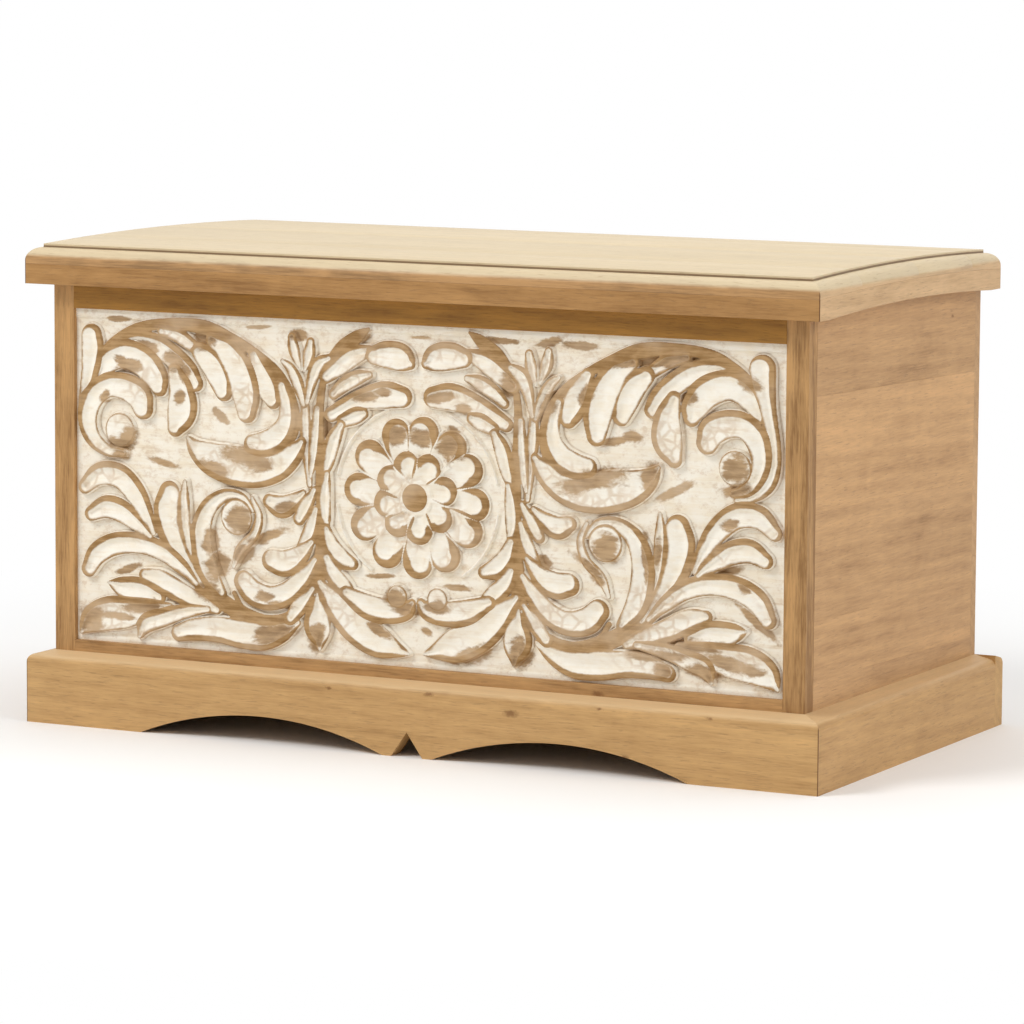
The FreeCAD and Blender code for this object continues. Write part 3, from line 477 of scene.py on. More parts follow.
# Each row is a node, the way its grain runs, its tint, its lightness and its contrast.
BOARDS = [
    ("front_left_stile", "z", FRAME_TINT, 1.02, 3.2),
    ("front_right_stile", "z", FRAME_TINT, 0.97, 3.8),
    ("front_top_rail", "x", RAIL_SHADE_TINT, 1.02, 2.4),
    ("front_bottom_rail", "x", FRAME_TINT, 1.01, 2.4),
    ("plinth_front", "x", PLINTH_TINT, 1.00, 1.5),
    ("plinth_back", "x", PLINTH_TINT, 0.97, 1.4),
    ("plinth_left", "y", PLINTH_END_TINT, 0.98, 1.4),
    ("plinth_right", "y", PLINTH_END_TINT, 1.00, 1.4),
    ("plinth_corner_blocks", "z", INSIDE_TINT, 0.95, 1.2),
    ("lid_front_skirt", "x", SKIRT_TINT, 1.00, 2.0),
    ("lid_back_skirt", "x", SKIRT_TINT, 0.98, 1.7),
    ("lid_left_skirt", "y", SKIRT_END_TINT, 0.97, 1.5),
    ("lid_right_skirt", "y", SKIRT_END_TINT, 1.00, 1.5),
    ("lid_left_batten", "y", INSIDE_TINT, 1.02, 1.4),
    ("lid_right_batten", "y", INSIDE_TINT, 0.97, 1.4),
    ("back_board_1", "x", BACK_TINT, 0.98, 1.5),
    ("back_board_2", "x", BACK_TINT, 1.04, 1.5),
    ("back_board_3", "x", BACK_TINT, 0.96, 1.5),
    ("hinge_rail", "x", INSIDE_TINT, 1.00, 1.5),
    ("floor_panel", "x", INSIDE_TINT, 1.05, 1.4),
    ("front_floor_cleat", "x", INSIDE_TINT, 0.95, 1.4),
    ("back_floor_cleat", "x", INSIDE_TINT, 0.97, 1.4),
    ("front_left_corner_post", "z", INSIDE_TINT, 0.96, 1.4),
    ("front_right_corner_post", "z", INSIDE_TINT, 1.00, 1.4),
    ("back_left_corner_post", "z", INSIDE_TINT, 1.02, 1.4),
    ("back_right_corner_post", "z", INSIDE_TINT, 0.98, 1.4),
]
SIDE_BOARD_LIGHTS = {"bottom_rail": 0.95, "board_1": 1.00, "board_2": 0.97, "board_3": 1.03,
                     "board_4": 0.96}
SIDE_CONTRAST = 1.7
for hand, lift in (("left", 0.99), ("right", 1.0)):
    BOARDS += [(f"{hand}_side_{board}", "y", SIDE_TINT, light * lift, SIDE_CONTRAST)
               for board, light in SIDE_BOARD_LIGHTS.items()]
PLANK_LIGHTS = {"lid_plank_1": 1.00, "lid_plank_2": 0.98, "lid_plank_3": 1.02, "lid_plank_4": 0.99}
KNOTS = {
    "plinth_front": [(0.0252, -0.240, 0.0666, 0.0030), (0.1182, -0.240, 0.0545, 0.0048),
                     (0.2166, -0.240, 0.0669, 0.0018), (0.3368, -0.240, 0.0671, 0.0020),
                     (0.2454, -0.240, 0.0212, 0.0024), (-0.0900, -0.240, 0.0640, 0.0020)],
    "front_bottom_rail": [(0.2051, -0.2202, 0.0783, 0.0040)],
    "lid_front_skirt": [(-0.1683, -0.2434, 0.4874, 0.0020)],
    "right_side_board_2": [(0.4293, -0.0801, 0.3049, 0.0016)],
    "right_side_board_4": [(0.4293, 0.1451, 0.4382, 0.0022)],
}
PLACE_STEP = 0.37
PLANK_STEP = 0.53
plinth_side, plinth_front_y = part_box("plinth_front")[1].x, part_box("plinth_front")[0].y
plinth_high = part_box("plinth_front")[1].z
# Painted highlight along the plinth's rounded top edge: where it starts, where it is full, and its
# strength.
HIGHLIGHT_EDGES = {"plinth_front": (plinth_high - 8.5 * MM, plinth_high - 4.5 * MM, 0.60),
              "plinth_right": (plinth_high - 8.0 * MM, plinth_high - 4.0 * MM, 0.35),
              "plinth_left": (plinth_high - 8.0 * MM, plinth_high - 4.0 * MM, 0.35)}
CORNERS = {"plinth_": (plinth_side, plinth_front_y, plinth_high - 5.0 * MM),
           "lid_": (lid_side, lid_front, slab_low + 1.0)}


def dress(node, material):
    """Give a board's object one material in every slot."""
    mesh = nodes[node].data
    mesh.materials.clear()
    mesh.materials.append(material)


for count, (node, along, tint, light, contrast) in enumerate(BOARDS):
    corner = next((value for start, value in CORNERS.items() if node.startswith(start)), None)
    dress(node, wood("timber_" + node, along, shaded(tint, light), PLACE_STEP * (count + 1), contrast,
                     KNOTS.get(node, ()), HIGHLIGHT_EDGES.get(node), corner))
for count, (node, light) in enumerate(PLANK_LIGHTS.items()):
    dress(node, lid_wood("timber_" + node, PLANK_STEP * (count + 1), light))
print("boards dressed:", len(BOARDS) + len(PLANK_LIGHTS))

# %% [markdown]
# ## The carved panel
# The real panel is one board, cut back by a few millimetres round scrolls of acanthus
# leaves and a rosette. Each leaf was left standing and then scooped out with a gouge, which
# leaves a raised rim. It could be sculpted, or built leaf by leaf. Here it is a relief, as
# the carver made it: one height over the whole board, into which each leaf is cut in turn,
# the lower ones first, so that an upper leaf lies over its neighbour with a clean edge.
# A leaf is a line drawn with a half width at each of its points.

# %% The opening that the panel fills
RELIEF_PITCH = 1.0
CREST_SETBACK = 0.4
RELIEF_DEPTH = 6.4
opening_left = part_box("front_left_stile")[1].x / MM
opening_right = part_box("front_right_stile")[0].x / MM
opening_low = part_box("front_bottom_rail")[1].z / MM
opening_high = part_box("front_top_rail")[0].z / MM
face_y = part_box("front_top_rail")[0].y / MM
panel_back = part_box("carved_panel")[1].y / MM
STRIPS = 4
strip_columns = round((opening_right - opening_left) / STRIPS / RELIEF_PITCH)
relief_x = np.linspace(opening_left, opening_right, STRIPS * strip_columns + 1)
relief_rows = round((opening_high - opening_low) / RELIEF_PITCH)
relief_z = np.linspace(opening_low, opening_high, relief_rows + 1)
print("relief grid:", len(relief_x), "by", len(relief_z))

# %% [markdown]
# ## The drawing of the carving
# The panel is nearly the same on both sides of its middle, so most leaves are drawn on the
# left and mirrored. Each point is its place along the panel, its height above the floor, and
# the leaf's half width there, all in millimetres.

# %% The big scroll with its leaves
BIG_SCROLL = [
    [(-378, 385, 4), (-358, 404, 5), (-328, 419, 6), (-290, 425, 6), (-250, 423, 8), (-215, 412, 6),
     (-190, 400, 5), (-165, 383, 5), (-150, 364, 5), (-142, 342, 5), (-142, 322, 4), (-151, 305, 4)],
    [(-300, 417, 5), (-280, 413, 8), (-262, 403, 7)],
    [(-350, 399, 9), (-330, 405, 11), (-308, 402, 12), (-288, 392, 12), (-270, 377, 12), (-260, 365, 9)],
    [(-284, 376, 8), (-277, 357, 14), (-276, 336, 17), (-284, 317, 9)],
    [(-380, 364, 8), (-366, 382, 13), (-345, 391, 15), (-322, 384, 16), (-307, 369, 14), (-303, 358, 9)],
    [(-254, 398, 10), (-241, 388, 14), (-230, 371, 14), (-226, 358, 10)],
    [(-190, 398, 7), (-181, 380, 12), (-173, 364, 13), (-168, 352, 9)],
    [(-240, 411, 7), (-222, 401, 13), (-208, 382, 16), (-200, 358, 16), (-199, 338, 11)],
    [(-268, 308, 3), (-257, 296, 11), (-238, 287, 18), (-212, 282, 21), (-186, 279, 18), (-162, 284, 14),
     (-145, 297, 11), (-134, 311, 5)],
    [(-157, 368, 6), (-151, 348, 9), (-152, 330, 11), (-162, 315, 13), (-178, 307, 13), (-192, 306, 10)],
]
# The hook and the outermost leaves differ from one side to the other.
LEFT_HOOK = [
    [(-385, 409, 12), (-384, 396, 13), (-386, 377, 11), (-391, 357, 8), (-396, 340, 5), (-398, 325, 3)],
    [(-346, 288, 4), (-366, 290, 7), (-384, 303, 10), (-390, 323, 12), (-383, 344, 13), (-366, 357, 13),
     (-345, 357, 14), (-328, 349, 15), (-323, 336, 12)],
]
RIGHT_HOOK = [
    [(379, 411, 14), (381, 395, 12), (385, 375, 9), (389, 355, 8), (392, 335, 8), (392, 315, 8),
     (386, 298, 8), (372, 286, 6), (354, 281, 4)],
    [(349, 287, 4), (364, 292, 7), (375, 305, 9), (379, 323, 11), (373, 343, 13), (360, 354, 13),
     (343, 355, 14), (327, 348, 15), (321, 336, 12)],
]

# %% The spray between the scroll and the ring
SPRAY = [
    [(-130, 352, 5), (-130, 325, 7), (-128, 298, 6), (-125, 268, 4)],
    [(-157, 393, 3), (-147, 385, 6), (-139, 370, 7), (-132, 350, 4)],
    [(-103, 398, 5), (-115, 391, 8), (-122, 376, 7), (-128, 352, 3)],
    [(-146, 418, 5), (-143, 404, 7), (-136, 386, 2)],
    [(-124, 414, 5), (-126, 400, 7), (-131, 384, 2)],
    [(-116, 346, 5), (-118, 320, 7), (-121, 294, 6), (-124, 276, 2)],
]

# %% The ring of leaves round the rosette
RING = [
    [(-110, 372, 4), (-113, 350, 5), (-113, 322, 5), (-112, 290, 6), (-112, 262, 6), (-111, 235, 6),
     (-111, 205, 7), (-113, 182, 9), (-116, 164, 8)],
    [(-104, 394, 4), (-88, 410, 7), (-71, 421, 7), (-57, 430, 2)],
    [(-106, 380, 8), (-92, 391, 11), (-75, 402, 11), (-57, 408, 6)],
    [(-97, 362, 6), (-85, 372, 8), (-70, 380, 8), (-55, 384, 4)],
    [(-50, 404, 10), (-36, 405, 14), (-20, 403, 14), (-9, 397, 6)],
    [(-100, 341, 8), (-82, 350, 10), (-62, 359, 11), (-38, 364, 14), (-18, 363, 11)],
    [(-86, 335, 7), (-72, 341, 9), (-62, 344, 6)],
    [(-88, 331, 5), (-97, 315, 9), (-103, 294, 8), (-106, 281, 4)],
    [(-104, 280, 4), (-107, 262, 8), (-107, 242, 8), (-104, 229, 4)],
    [(-105, 223, 6), (-99, 207, 10), (-88, 195, 11), (-75, 190, 7)],
    [(-105, 194, 7), (-98, 179, 10), (-85, 166, 10), (-76, 160, 5)],
    [(-112, 168, 5), (-96, 148, 13), (-74, 128, 18), (-48, 114, 18), (-25, 106, 9), (-9, 102, 2)],
    [(-82, 160, 7), (-58, 148, 13), (-34, 144, 13), (-14, 146, 10), (-6, 154, 5)],
]

# %% The fan of leaves at the lower corner
FAN = [
    [(-308, 220, 5), (-292, 196, 7), (-268, 170, 8), (-242, 149, 9), (-212, 132, 9), (-178, 122, 8),
     (-146, 122, 5)],
    [(-272, 262, 3), (-273, 240, 7), (-271, 215, 7), (-264, 190, 6), (-250, 166, 3)],
    [(-291, 249, 13), (-295, 232, 15), (-291, 212, 13), (-280, 190, 10), (-265, 172, 7), (-250, 155, 3)],
    [(-365, 151, 2), (-347, 147, 11), (-324, 145, 13), (-305, 140, 9)],
    [(-398, 97, 3), (-385, 111, 14), (-365, 118, 18), (-341, 121, 16), (-316, 127, 10), (-290, 131, 4)],
    [(-321, 162, 7), (-302, 157, 12), (-279, 147, 12), (-256, 138, 10), (-234, 131, 5)],
    [(-327, 97, 3), (-319, 111, 10), (-300, 118, 10), (-275, 126, 8), (-245, 131, 4)],
    [(-389, 164, 9), (-378, 181, 12), (-356, 192, 12), (-326, 194, 11), (-299, 187, 10), (-277, 173, 8),
     (-258, 157, 3)],
    [(-386, 222, 8), (-368, 230, 12), (-348, 226, 12), (-330, 215, 9), (-314, 203, 4)],
    [(-394, 250, 8), (-376, 264, 12), (-352, 263, 13), (-332, 246, 12), (-318, 223, 8), (-310, 206, 3)],
    [(-280, 104, 9), (-260, 109, 12), (-232, 111, 14), (-205, 108, 15), (-180, 107, 14), (-158, 113, 10),
     (-138, 125, 4)],
]

# %% The inner scroll with its cupped leaves, and the foot leaf
INNER_SCROLL = [
    [(-214, 150, 3), (-204, 136, 3), (-185, 128, 3), (-160, 128, 4), (-140, 137, 5), (-124, 152, 5)],
    [(-191, 237, 3), (-204, 250, 5), (-224, 251, 7), (-243, 238, 10), (-252, 217, 12), (-251, 191, 13),
     (-243, 168, 12), (-228, 150, 6)],
    [(-192, 250, 3), (-184, 232, 5), (-190, 212, 6), (-206, 196, 6), (-214, 178, 3)],
    [(-172, 248, 8), (-158, 243, 12), (-145, 249, 9), (-132, 259, 4)],
    [(-137, 232, 7), (-129, 245, 8), (-119, 263, 4)],
    [(-134, 203, 6), (-124, 219, 9), (-117, 243, 4)],
    [(-169, 187, 12), (-154, 185, 14), (-138, 193, 11), (-122, 209, 4)],
    [(-202, 163, 12), (-190, 152, 14), (-171, 148, 13), (-152, 154, 12), (-133, 170, 10), (-118, 191, 4)],
    [(-147, 129, 7), (-135, 143, 9), (-121, 161, 4)],
    [(-115, 156, 2), (-115, 138, 11), (-115, 123, 16), (-113, 109, 8), (-112, 99, 2)],
]

# %% [markdown]
# ## Cutting one leaf
# A leaf is the union of discs along its line, so how far a point lies inside it is the
# largest of radius minus distance. That one number gives the wall, which climbs in the first
# millimetres, the rim, which is wider on the outside of a bend, and the scoop behind it,
# a quarter sine from the rim to the leaf's middle.


# %% Lines and leaves
def smooth_line(points, spacing):
    """A Catmull-Rom curve through the points, sampled about every spacing millimetres."""
    rows = np.array(points, float)
    rows = np.vstack([2 * rows[0] - rows[1], rows, 2 * rows[-1] - rows[-2]])
    stretches = []
    for before, start, end, after in zip(rows, rows[1:], rows[2:], rows[3:]):
        steps = max(2, int(np.hypot(*(end - start)[:2]) / spacing))
        t = np.linspace(0, 1, steps, endpoint=False)[:, None]
        stretches.append(0.5 * (2 * start + (end - before) * t
                                + (2 * before - 5 * start + 4 * end - after) * t ** 2
                                + (3 * start - before - 3 * end + after) * t ** 3))
    return np.vstack(stretches + [rows[-2:-1]])


def step_up(value, low, high):
    """0 below low, 1 above high, and 3 t^2 - 2 t^3 between."""
    t = np.clip((value - low) / (high - low), 0, 1)
    return t * t * (3 - 2 * t)


def at_nearest(values, nearest):
    """Each point's value for the one disc that it lies deepest in."""
    return np.take_along_axis(values, nearest[..., None], -1)[..., 0]


LINE_SPACING = 1.6
WALL_START, WALL_WIDTH = -0.2, 1.9
PAINT_START = 0.1
PAINT_FULL = 1.8
RIM_WIDTH = 5.8
RIM_LEAN = 0.6
WIDEST_RIM = 0.6
LEAF_GROWTH = 1.2
SCOOP_SHARE = 0.36
DEEPEST_SCOOP = 3.6
DEEPEST_BEHIND = 6.0
GROUND_SCOOP = 8.0
GOUGE_LENGTH = 13.0
GOUGE_DEPTH = 0.22
STEM_ROUNDING = 0.5
KNOB_DOME, KNOB_DROP, KNOB_RIM = 1.6, 1.0, 3.0


class Relief:
    """The height of the panel's front, and what the finish needs to know about each point."""

    def __init__(self, x, z):
        self.x, self.z = np.meshgrid(x, z)
        self.height = np.zeros_like(self.x)
        self.scoop = np.full_like(self.x, GROUND_SCOOP)
        self.worn = np.zeros_like(self.x)

    def window(self, line):
        """The rows and columns that a line's discs can reach."""
        reach = line[:, 2].max() + RELIEF_PITCH
        low, high = line[:, :2].min(0) - reach, line[:, :2].max(0) + reach
        columns = np.flatnonzero((self.x[0] >= low[0]) & (self.x[0] <= high[0]))
        rows = np.flatnonzero((self.z[:, 0] >= low[1]) & (self.z[:, 0] <= high[1]))
        return slice(rows[0], rows[-1] + 1), slice(columns[0], columns[-1] + 1)

    def cut_leaf(self, points, top, scooped=True, rim=RIM_WIDTH, plain_scoop=-3.0, taper=0.0,
                 growth=LEAF_GROWTH):
        """Cut one leaf over what is already there; taper thins its rim towards its root."""
        line = smooth_line(points, LINE_SPACING)
        line[:, 2] += growth
        part = self.window(line)
        across = self.x[part][..., None] - line[:, 0]
        up = self.z[part][..., None] - line[:, 1]
        inside = line[:, 2] - np.hypot(across, up)
        nearest = inside.argmax(-1)
        depth_in = at_nearest(inside, nearest)
        tangent = np.gradient(line[:, :2], axis=0)
        tangent /= np.hypot(*tangent.T)[:, None] + 1e-9
        bend = np.sign(np.cross(line[-1, :2] - line[0, :2], line[len(line) // 2, :2] - line[0, :2]))
        side = (at_nearest(up, nearest) * tangent[nearest, 0]
                - at_nearest(across, nearest) * tangent[nearest, 1])
        width = np.maximum(line[nearest, 2], 1.0)
        rim_here = np.minimum(rim * (1 + RIM_LEAN * bend * side / width), width * WIDEST_RIM)
        rim_here = rim_here * (1 - taper * (1 - (nearest / (len(line) - 1)) ** 2))
        wall = step_up(depth_in, WALL_START, WALL_WIDTH)
        behind_rim = np.clip((depth_in - rim_here) / np.maximum(width - rim_here, 1.0), 0, 1)
        depth = np.minimum(DEEPEST_SCOOP, SCOOP_SHARE * width)
        gouge = GOUGE_DEPTH * np.cos(2 * np.pi * nearest * LINE_SPACING / GOUGE_LENGTH)
        surface = top - scooped * (depth + gouge) * np.sin(behind_rim * np.pi / 2)
        surface += STEM_ROUNDING * (1 - scooped) * behind_rim
        self.height[part] = self.height[part] * (1 - wall) + surface * wall
        painted = step_up(depth_in, PAINT_START, PAINT_FULL)
        behind = np.minimum(depth_in - rim_here, DEEPEST_BEHIND) if scooped else plain_scoop
        self.scoop[part] = self.scoop[part] * (1 - painted) + behind * painted

    def cut_knob(self, x, z, radius, top, bare=False):
        """A round knob, higher in its middle, painted there unless it is bare."""
        reach = np.hypot(self.x - x, self.z - z)
        wall = step_up(radius - reach, WALL_START, WALL_WIDTH)
        dome = top + KNOB_DOME * np.sqrt(np.clip(1 - (reach / radius) ** 2, 0, 1)) - KNOB_DROP
        self.height = self.height * (1 - wall) + dome * wall
        painted = step_up(radius - reach, PAINT_START, PAINT_FULL)
        behind = (radius - KNOB_RIM - reach).clip(-KNOB_RIM, -KNOB_RIM if bare else DEEPEST_BEHIND)
        self.scoop = self.scoop * (1 - painted) + behind * painted

    def rub(self, x, z, half_length, half_height, degrees):
        """An oval where the wash was rubbed off: 1 in its middle, 0 at twice its size."""
        turn = math.radians(degrees)
        along = (self.x - x) * math.cos(turn) + (self.z - z) * math.sin(turn)
        across = (self.z - z) * math.cos(turn) - (self.x - x) * math.sin(turn)
        self.worn = np.maximum(self.worn, 1 - np.hypot(along / half_length, across / half_height) / 2)


print("leaf cutter ready")

# %% [markdown]
# ## Where the wash was rubbed off
# The paint was rubbed through to the wood in places that no rule gives, so they are listed: the place,
# the half length and half height of an oval, and its turn in degrees.

# %% Rubbed patches
PATCHES = [
    # Along the top edge
    (-357, 427, 15, 2.6, 0), (-186, 426, 14, 2.2, 5), (0, 424, 13, 2.2, 0), (90, 425, 18, 3, -3),
    (182, 424, 17, 4, 0), (-138, 421, 11, 6, 0), (145, 426, 12, 4, 15), (-71, 420, 15, 6, 30),
    # The big scroll on the left
    (-316, 398, 14, 5, -15), (-287, 388, 15, 8, -20), (-273, 374, 6, 9, 0), (-340, 380, 14, 7, -10),
    (-251, 411, 11, 9, -20), (-279, 349, 6, 7, 0), (-340, 306, 11, 9, 40), (-353, 297, 14, 6, -20),
    (-349, 286, 9, 6, 0), (-369, 346, 5, 7, -30), (-236, 277, 19, 8, -30), (-198, 291, 30, 10, -5),
    (-300, 280, 17, 3.5, -8), (-231, 331, 11, 4, -40),
    # The big scroll on the right
    (262, 413, 50, 6, 4), (366, 394, 14, 7, -35), (300, 379, 9, 6, 30), (192, 289, 38, 9, 12),
    (258, 297, 9, 13, -15), (353, 313, 14, 14, 0), (350, 289, 14, 8, 0), (190, 376, 7, 12, -25),
    (145, 362, 7, 16, -25), (282, 285, 24, 5, 25), (218, 331, 16, 4, 15), (238, 338, 10, 6, 0),
    # The ring and the rosette
    (-62, 362, 15, 6, 10), (-42, 367, 11, 4, 0), (25, 365, 18, 5, 10), (52, 354, 8, 5, 0),
    (-25, 324, 11, 11, 0), (5, 323, 14, 8, 0), (38, 318, 14, 14, 0), (-22, 158, 13, 11, -20),
    (23, 151, 11, 6, 0), (-42, 179, 15, 2.6, 2), (42, 173, 15, 3, 0), (9, 126, 7, 3.5, -25),
    (-42, 122, 16, 6, -20), (62, 106, 22, 7, 20), (104, 380, 9, 12, 30), (-108, 330, 5, 14, 10),
    (-14, 148, 13, 10, -35),
    # The inner scroll and the fan on the left
    (-243, 203, 8, 13, -10), (-236, 174, 12, 16, -35), (-207, 225, 14, 15, 0), (-152, 243, 12, 5, 10),
    (-205, 191, 11, 8, 40), (-176, 211, 20, 4.5, 20), (-180, 149, 9, 5, 0), (-158, 141, 14, 4, 0),
    (-118, 112, 9, 13, -15), (-168, 112, 22, 8, 15), (-385, 110, 13, 13, 30), (-355, 116, 18, 4, 0),
    (-343, 167, 11, 3.5, 20), (-245, 150, 12, 10, 0), (-325, 128, 20, 7, 10),
    # The inner scroll and the fan on the right
    (212, 224, 13, 14, 0), (188, 208, 18, 4.5, -30), (202, 191, 10, 5, -25), (115, 112, 11, 14, 0),
    (255, 215, 4, 25, 5), (268, 221, 4, 13, -5), (345, 210, 14, 5, 10), (362, 194, 8, 5, -20),
    (372, 163, 26, 3.5, -38), (320, 107, 20, 7, -5), (352, 118, 28, 6, -12), (308, 134, 30, 6, 0),
    (268, 121, 30, 5, 0), (274, 106, 9, 8, 0), (346, 255, 9, 6, 0), (142, 205, 8, 5, -30),
]
print("patches:", len(PATCHES))

# %% [markdown]
# ## Cutting the whole board
# The drawing is cut in order, stems first. The mirrored half is let wander by a millimetre
# or two, because both halves were cut by eye. The rosette is two rings of petals round a
# knob, which a loop places by angle.

# %% Cut the drawing into the board
ROSETTE_CENTRE = (-2.0, 262.0)
PETAL_RIM = 8.5
PETAL_TAPER = 0.72
VEIN_HALF_WIDTH = 1.7
RING_HALF_WIDTH = 2.4
RING_RADIUS = 93
RING_ARCS = [(112, 168), (188, 236), (304, 352), (12, 68)]
OUTER_PETALS = [110, 83, 53, 28, -3, -28, -60, -88, -120, -152, 176, 144]
INNER_PETALS = [107, 65, 14, -35, -82, -127, -168, 150]
KNOBS = [(-351, 312, 19), (-211, 229, 20), (-23, 160, 13)]
KNOB_TOP = 5.4
BOSS = (15.5, 7.8)
BOSS_COLLAR = (19.5, 6.4)
GROUND_MARKS, LEAF_MARKS = 1.1, 0.35
CHIP_SEED = 5
UNEVENNESS = (-0.4, 0.3)
STEM_DROP = 0.9
# Each group has its lines, the height of its rims, and how many of its first lines are stems.
GROUPS = [(RING, 6.0, 2), (SPRAY, 5.2, 0), (BIG_SCROLL, 6.3, 1), (FAN, 6.0, 1), (INNER_SCROLL, 6.0, 1)]


def mirrored(points):
    """The same line on the right half, let wander along two slow sines."""
    return [(-x + 1.6 * math.sin(z / 31 - x / 83), z + 1.8 * math.sin(0.7 - x / 47), half_width)
            for x, z, half_width in points]


def from_rosette(reach, angle):
    """The place at a distance and an angle from the rosette's middle."""
    return ROSETTE_CENTRE[0] + reach * math.cos(angle), ROSETTE_CENTRE[1] + reach * math.sin(angle)


def petal(relief, angle, near, far, half_width, top):
    """A petal from near to far of the rosette's middle, wider and round at its far end."""
    points = [(*from_rosette(reach, angle), half_width * share)
              for reach, share in ((near, 0.72), ((near + far) / 2, 0.95), (far, 1.0))]
    relief.cut_leaf(points, top, rim=PETAL_RIM, taper=PETAL_TAPER, growth=0.0)


def vein(relief, angle, near, far, top):
    """A thin painted ridge in the valley between two petals."""
    points = [(*from_rosette(reach, angle), VEIN_HALF_WIDTH) for reach in (near, far)]
    relief.cut_leaf(points, top, scooped=False, plain_scoop=4.0, growth=0.0)


def petal_ring(relief, degrees, near, far, half_width, top):
    """A ring of petals at the given angles, with a ridge between each and the next."""
    for angle in degrees:
        petal(relief, math.radians(angle), near, far, half_width, top)
    turns = sorted(angle % 360 for angle in degrees)
    for first, second in zip(turns, turns[1:] + [turns[0] + 360]):
        vein(relief, math.radians((first + second) / 2), near, far + 0.35 * half_width, top - 0.6)


def ring_line(relief, radius, first, last):
    """A low thin ridge round the rosette, between two angles."""
    points = [(*from_rosette(radius, angle), RING_HALF_WIDTH)
              for angle in np.radians(np.linspace(first, last, 9))]
    relief.cut_leaf(points, 3.2, scooped=False, plain_scoop=DEEPEST_BEHIND, growth=0.0)


def softened(field, reach):
    """The field averaged over a square of twice the reach, in millimetres, each way."""
    steps = max(1, int(reach / RELIEF_PITCH))
    for axis in (0, 1):
        padding = [(steps + 1, steps) if way == axis else (0, 0) for way in (0, 1)]
        total = np.cumsum(np.pad(field, padding, mode="edge"), axis=axis)
        ahead = np.take(total, range(2 * steps + 1, total.shape[axis]), axis=axis)
        behind = np.take(total, range(0, total.shape[axis] - 2 * steps - 1), axis=axis)
        field = (ahead - behind) / (2 * steps + 1)
    return field


def cut_border(relief):
    """The uncut strip along each edge, widest and highest at the top."""
    from_side = np.minimum(relief.x - opening_left, opening_right - relief.x)
    borders = [(opening_high - relief.z, 1.9, 10.5, 8.5), (relief.z - opening_low, 1.2, 6.0, 4.5),
               (from_side, 1.0, 4.5, 3.0)]
    for gap, height, inner, outer in borders:
        relief.height = np.maximum(relief.height, height * step_up(-gap, -inner, -outer))


def carve():
    """The finished relief."""
    relief = Relief(relief_x, relief_z)
    chips = np.random.default_rng(CHIP_SEED)
    tool_marks = softened(softened(chips.standard_normal(relief.x.shape), 3.0), 3.0)
    relief.height += GROUND_MARKS * tool_marks
    cut_border(relief)
    for first, last in RING_ARCS:
        ring_line(relief, RING_RADIUS, first, last)
    for lines, top, stems in GROUPS:
        for count, points in enumerate(lines):
            for version in (points, mirrored(points)):
                leaf_top = top + chips.uniform(*UNEVENNESS) - STEM_DROP * (count < stems)
                relief.cut_leaf(version, leaf_top, scooped=count >= stems)
        if lines is BIG_SCROLL:
            for points in LEFT_HOOK + RIGHT_HOOK:
                relief.cut_leaf(points, top)
    for x, z, radius in KNOBS:
        relief.cut_knob(x, z, radius, KNOB_TOP)
        relief.cut_knob(-x, z, radius, KNOB_TOP)
    petal_ring(relief, OUTER_PETALS, 40, 66, 18.0, 5.6)
    petal_ring(relief, INNER_PETALS, 16, 33, 16.0, 7.4)
    radius, top = BOSS_COLLAR
    relief.cut_leaf([(*ROSETTE_CENTRE, radius), (ROSETTE_CENTRE[0] + 0.5, ROSETTE_CENTRE[1], radius)],
                    top, scooped=False, plain_scoop=DEEPEST_BEHIND, growth=0.0)
    relief.cut_knob(*ROSETTE_CENTRE, *BOSS, bare=True)
    for patch in PATCHES:
        relief.rub(*patch)
    relief.height += LEAF_MARKS * tool_marks
    relief.crevice = softened(softened(relief.height, 2.5), 1.3) - relief.height
    return relief


relief = carve()
print("relief from", round(relief.height.min(), 2), "to", round(relief.height.max(), 2), "mm")

# %% [markdown]
# ## The relief as a solid board
# The height becomes the front of a closed board as thick as the real panel. It is made in
# four strips, so that none holds too many faces, and all take their normals from the slope
# of the whole relief, so that no line shows where they meet.

# %% Four strips of one board
GROUND_Y = face_y + CREST_SETBACK + RELIEF_DEPTH


def border_loop(rows, columns):
    """Indices round the edge of a grid, anticlockwise from its lower left corner."""
    index = np.arange(rows * columns).reshape(rows, columns)
    return np.concatenate([index[0, :-1], index[:-1, -1], index[-1, :0:-1], index[:0:-1, 0]])


def relief_normals(relief):
    """The way the front faces at each point, from the slope of the height."""
    slope_z, slope_x = np.gradient(relief.height, relief_z[1] - relief_z[0], relief_x[1] - relief_x[0])
    facing = np.dstack([-slope_x, -np.ones_like(slope_x), -slope_z])
    return facing / np.linalg.norm(facing, axis=2)[..., None]


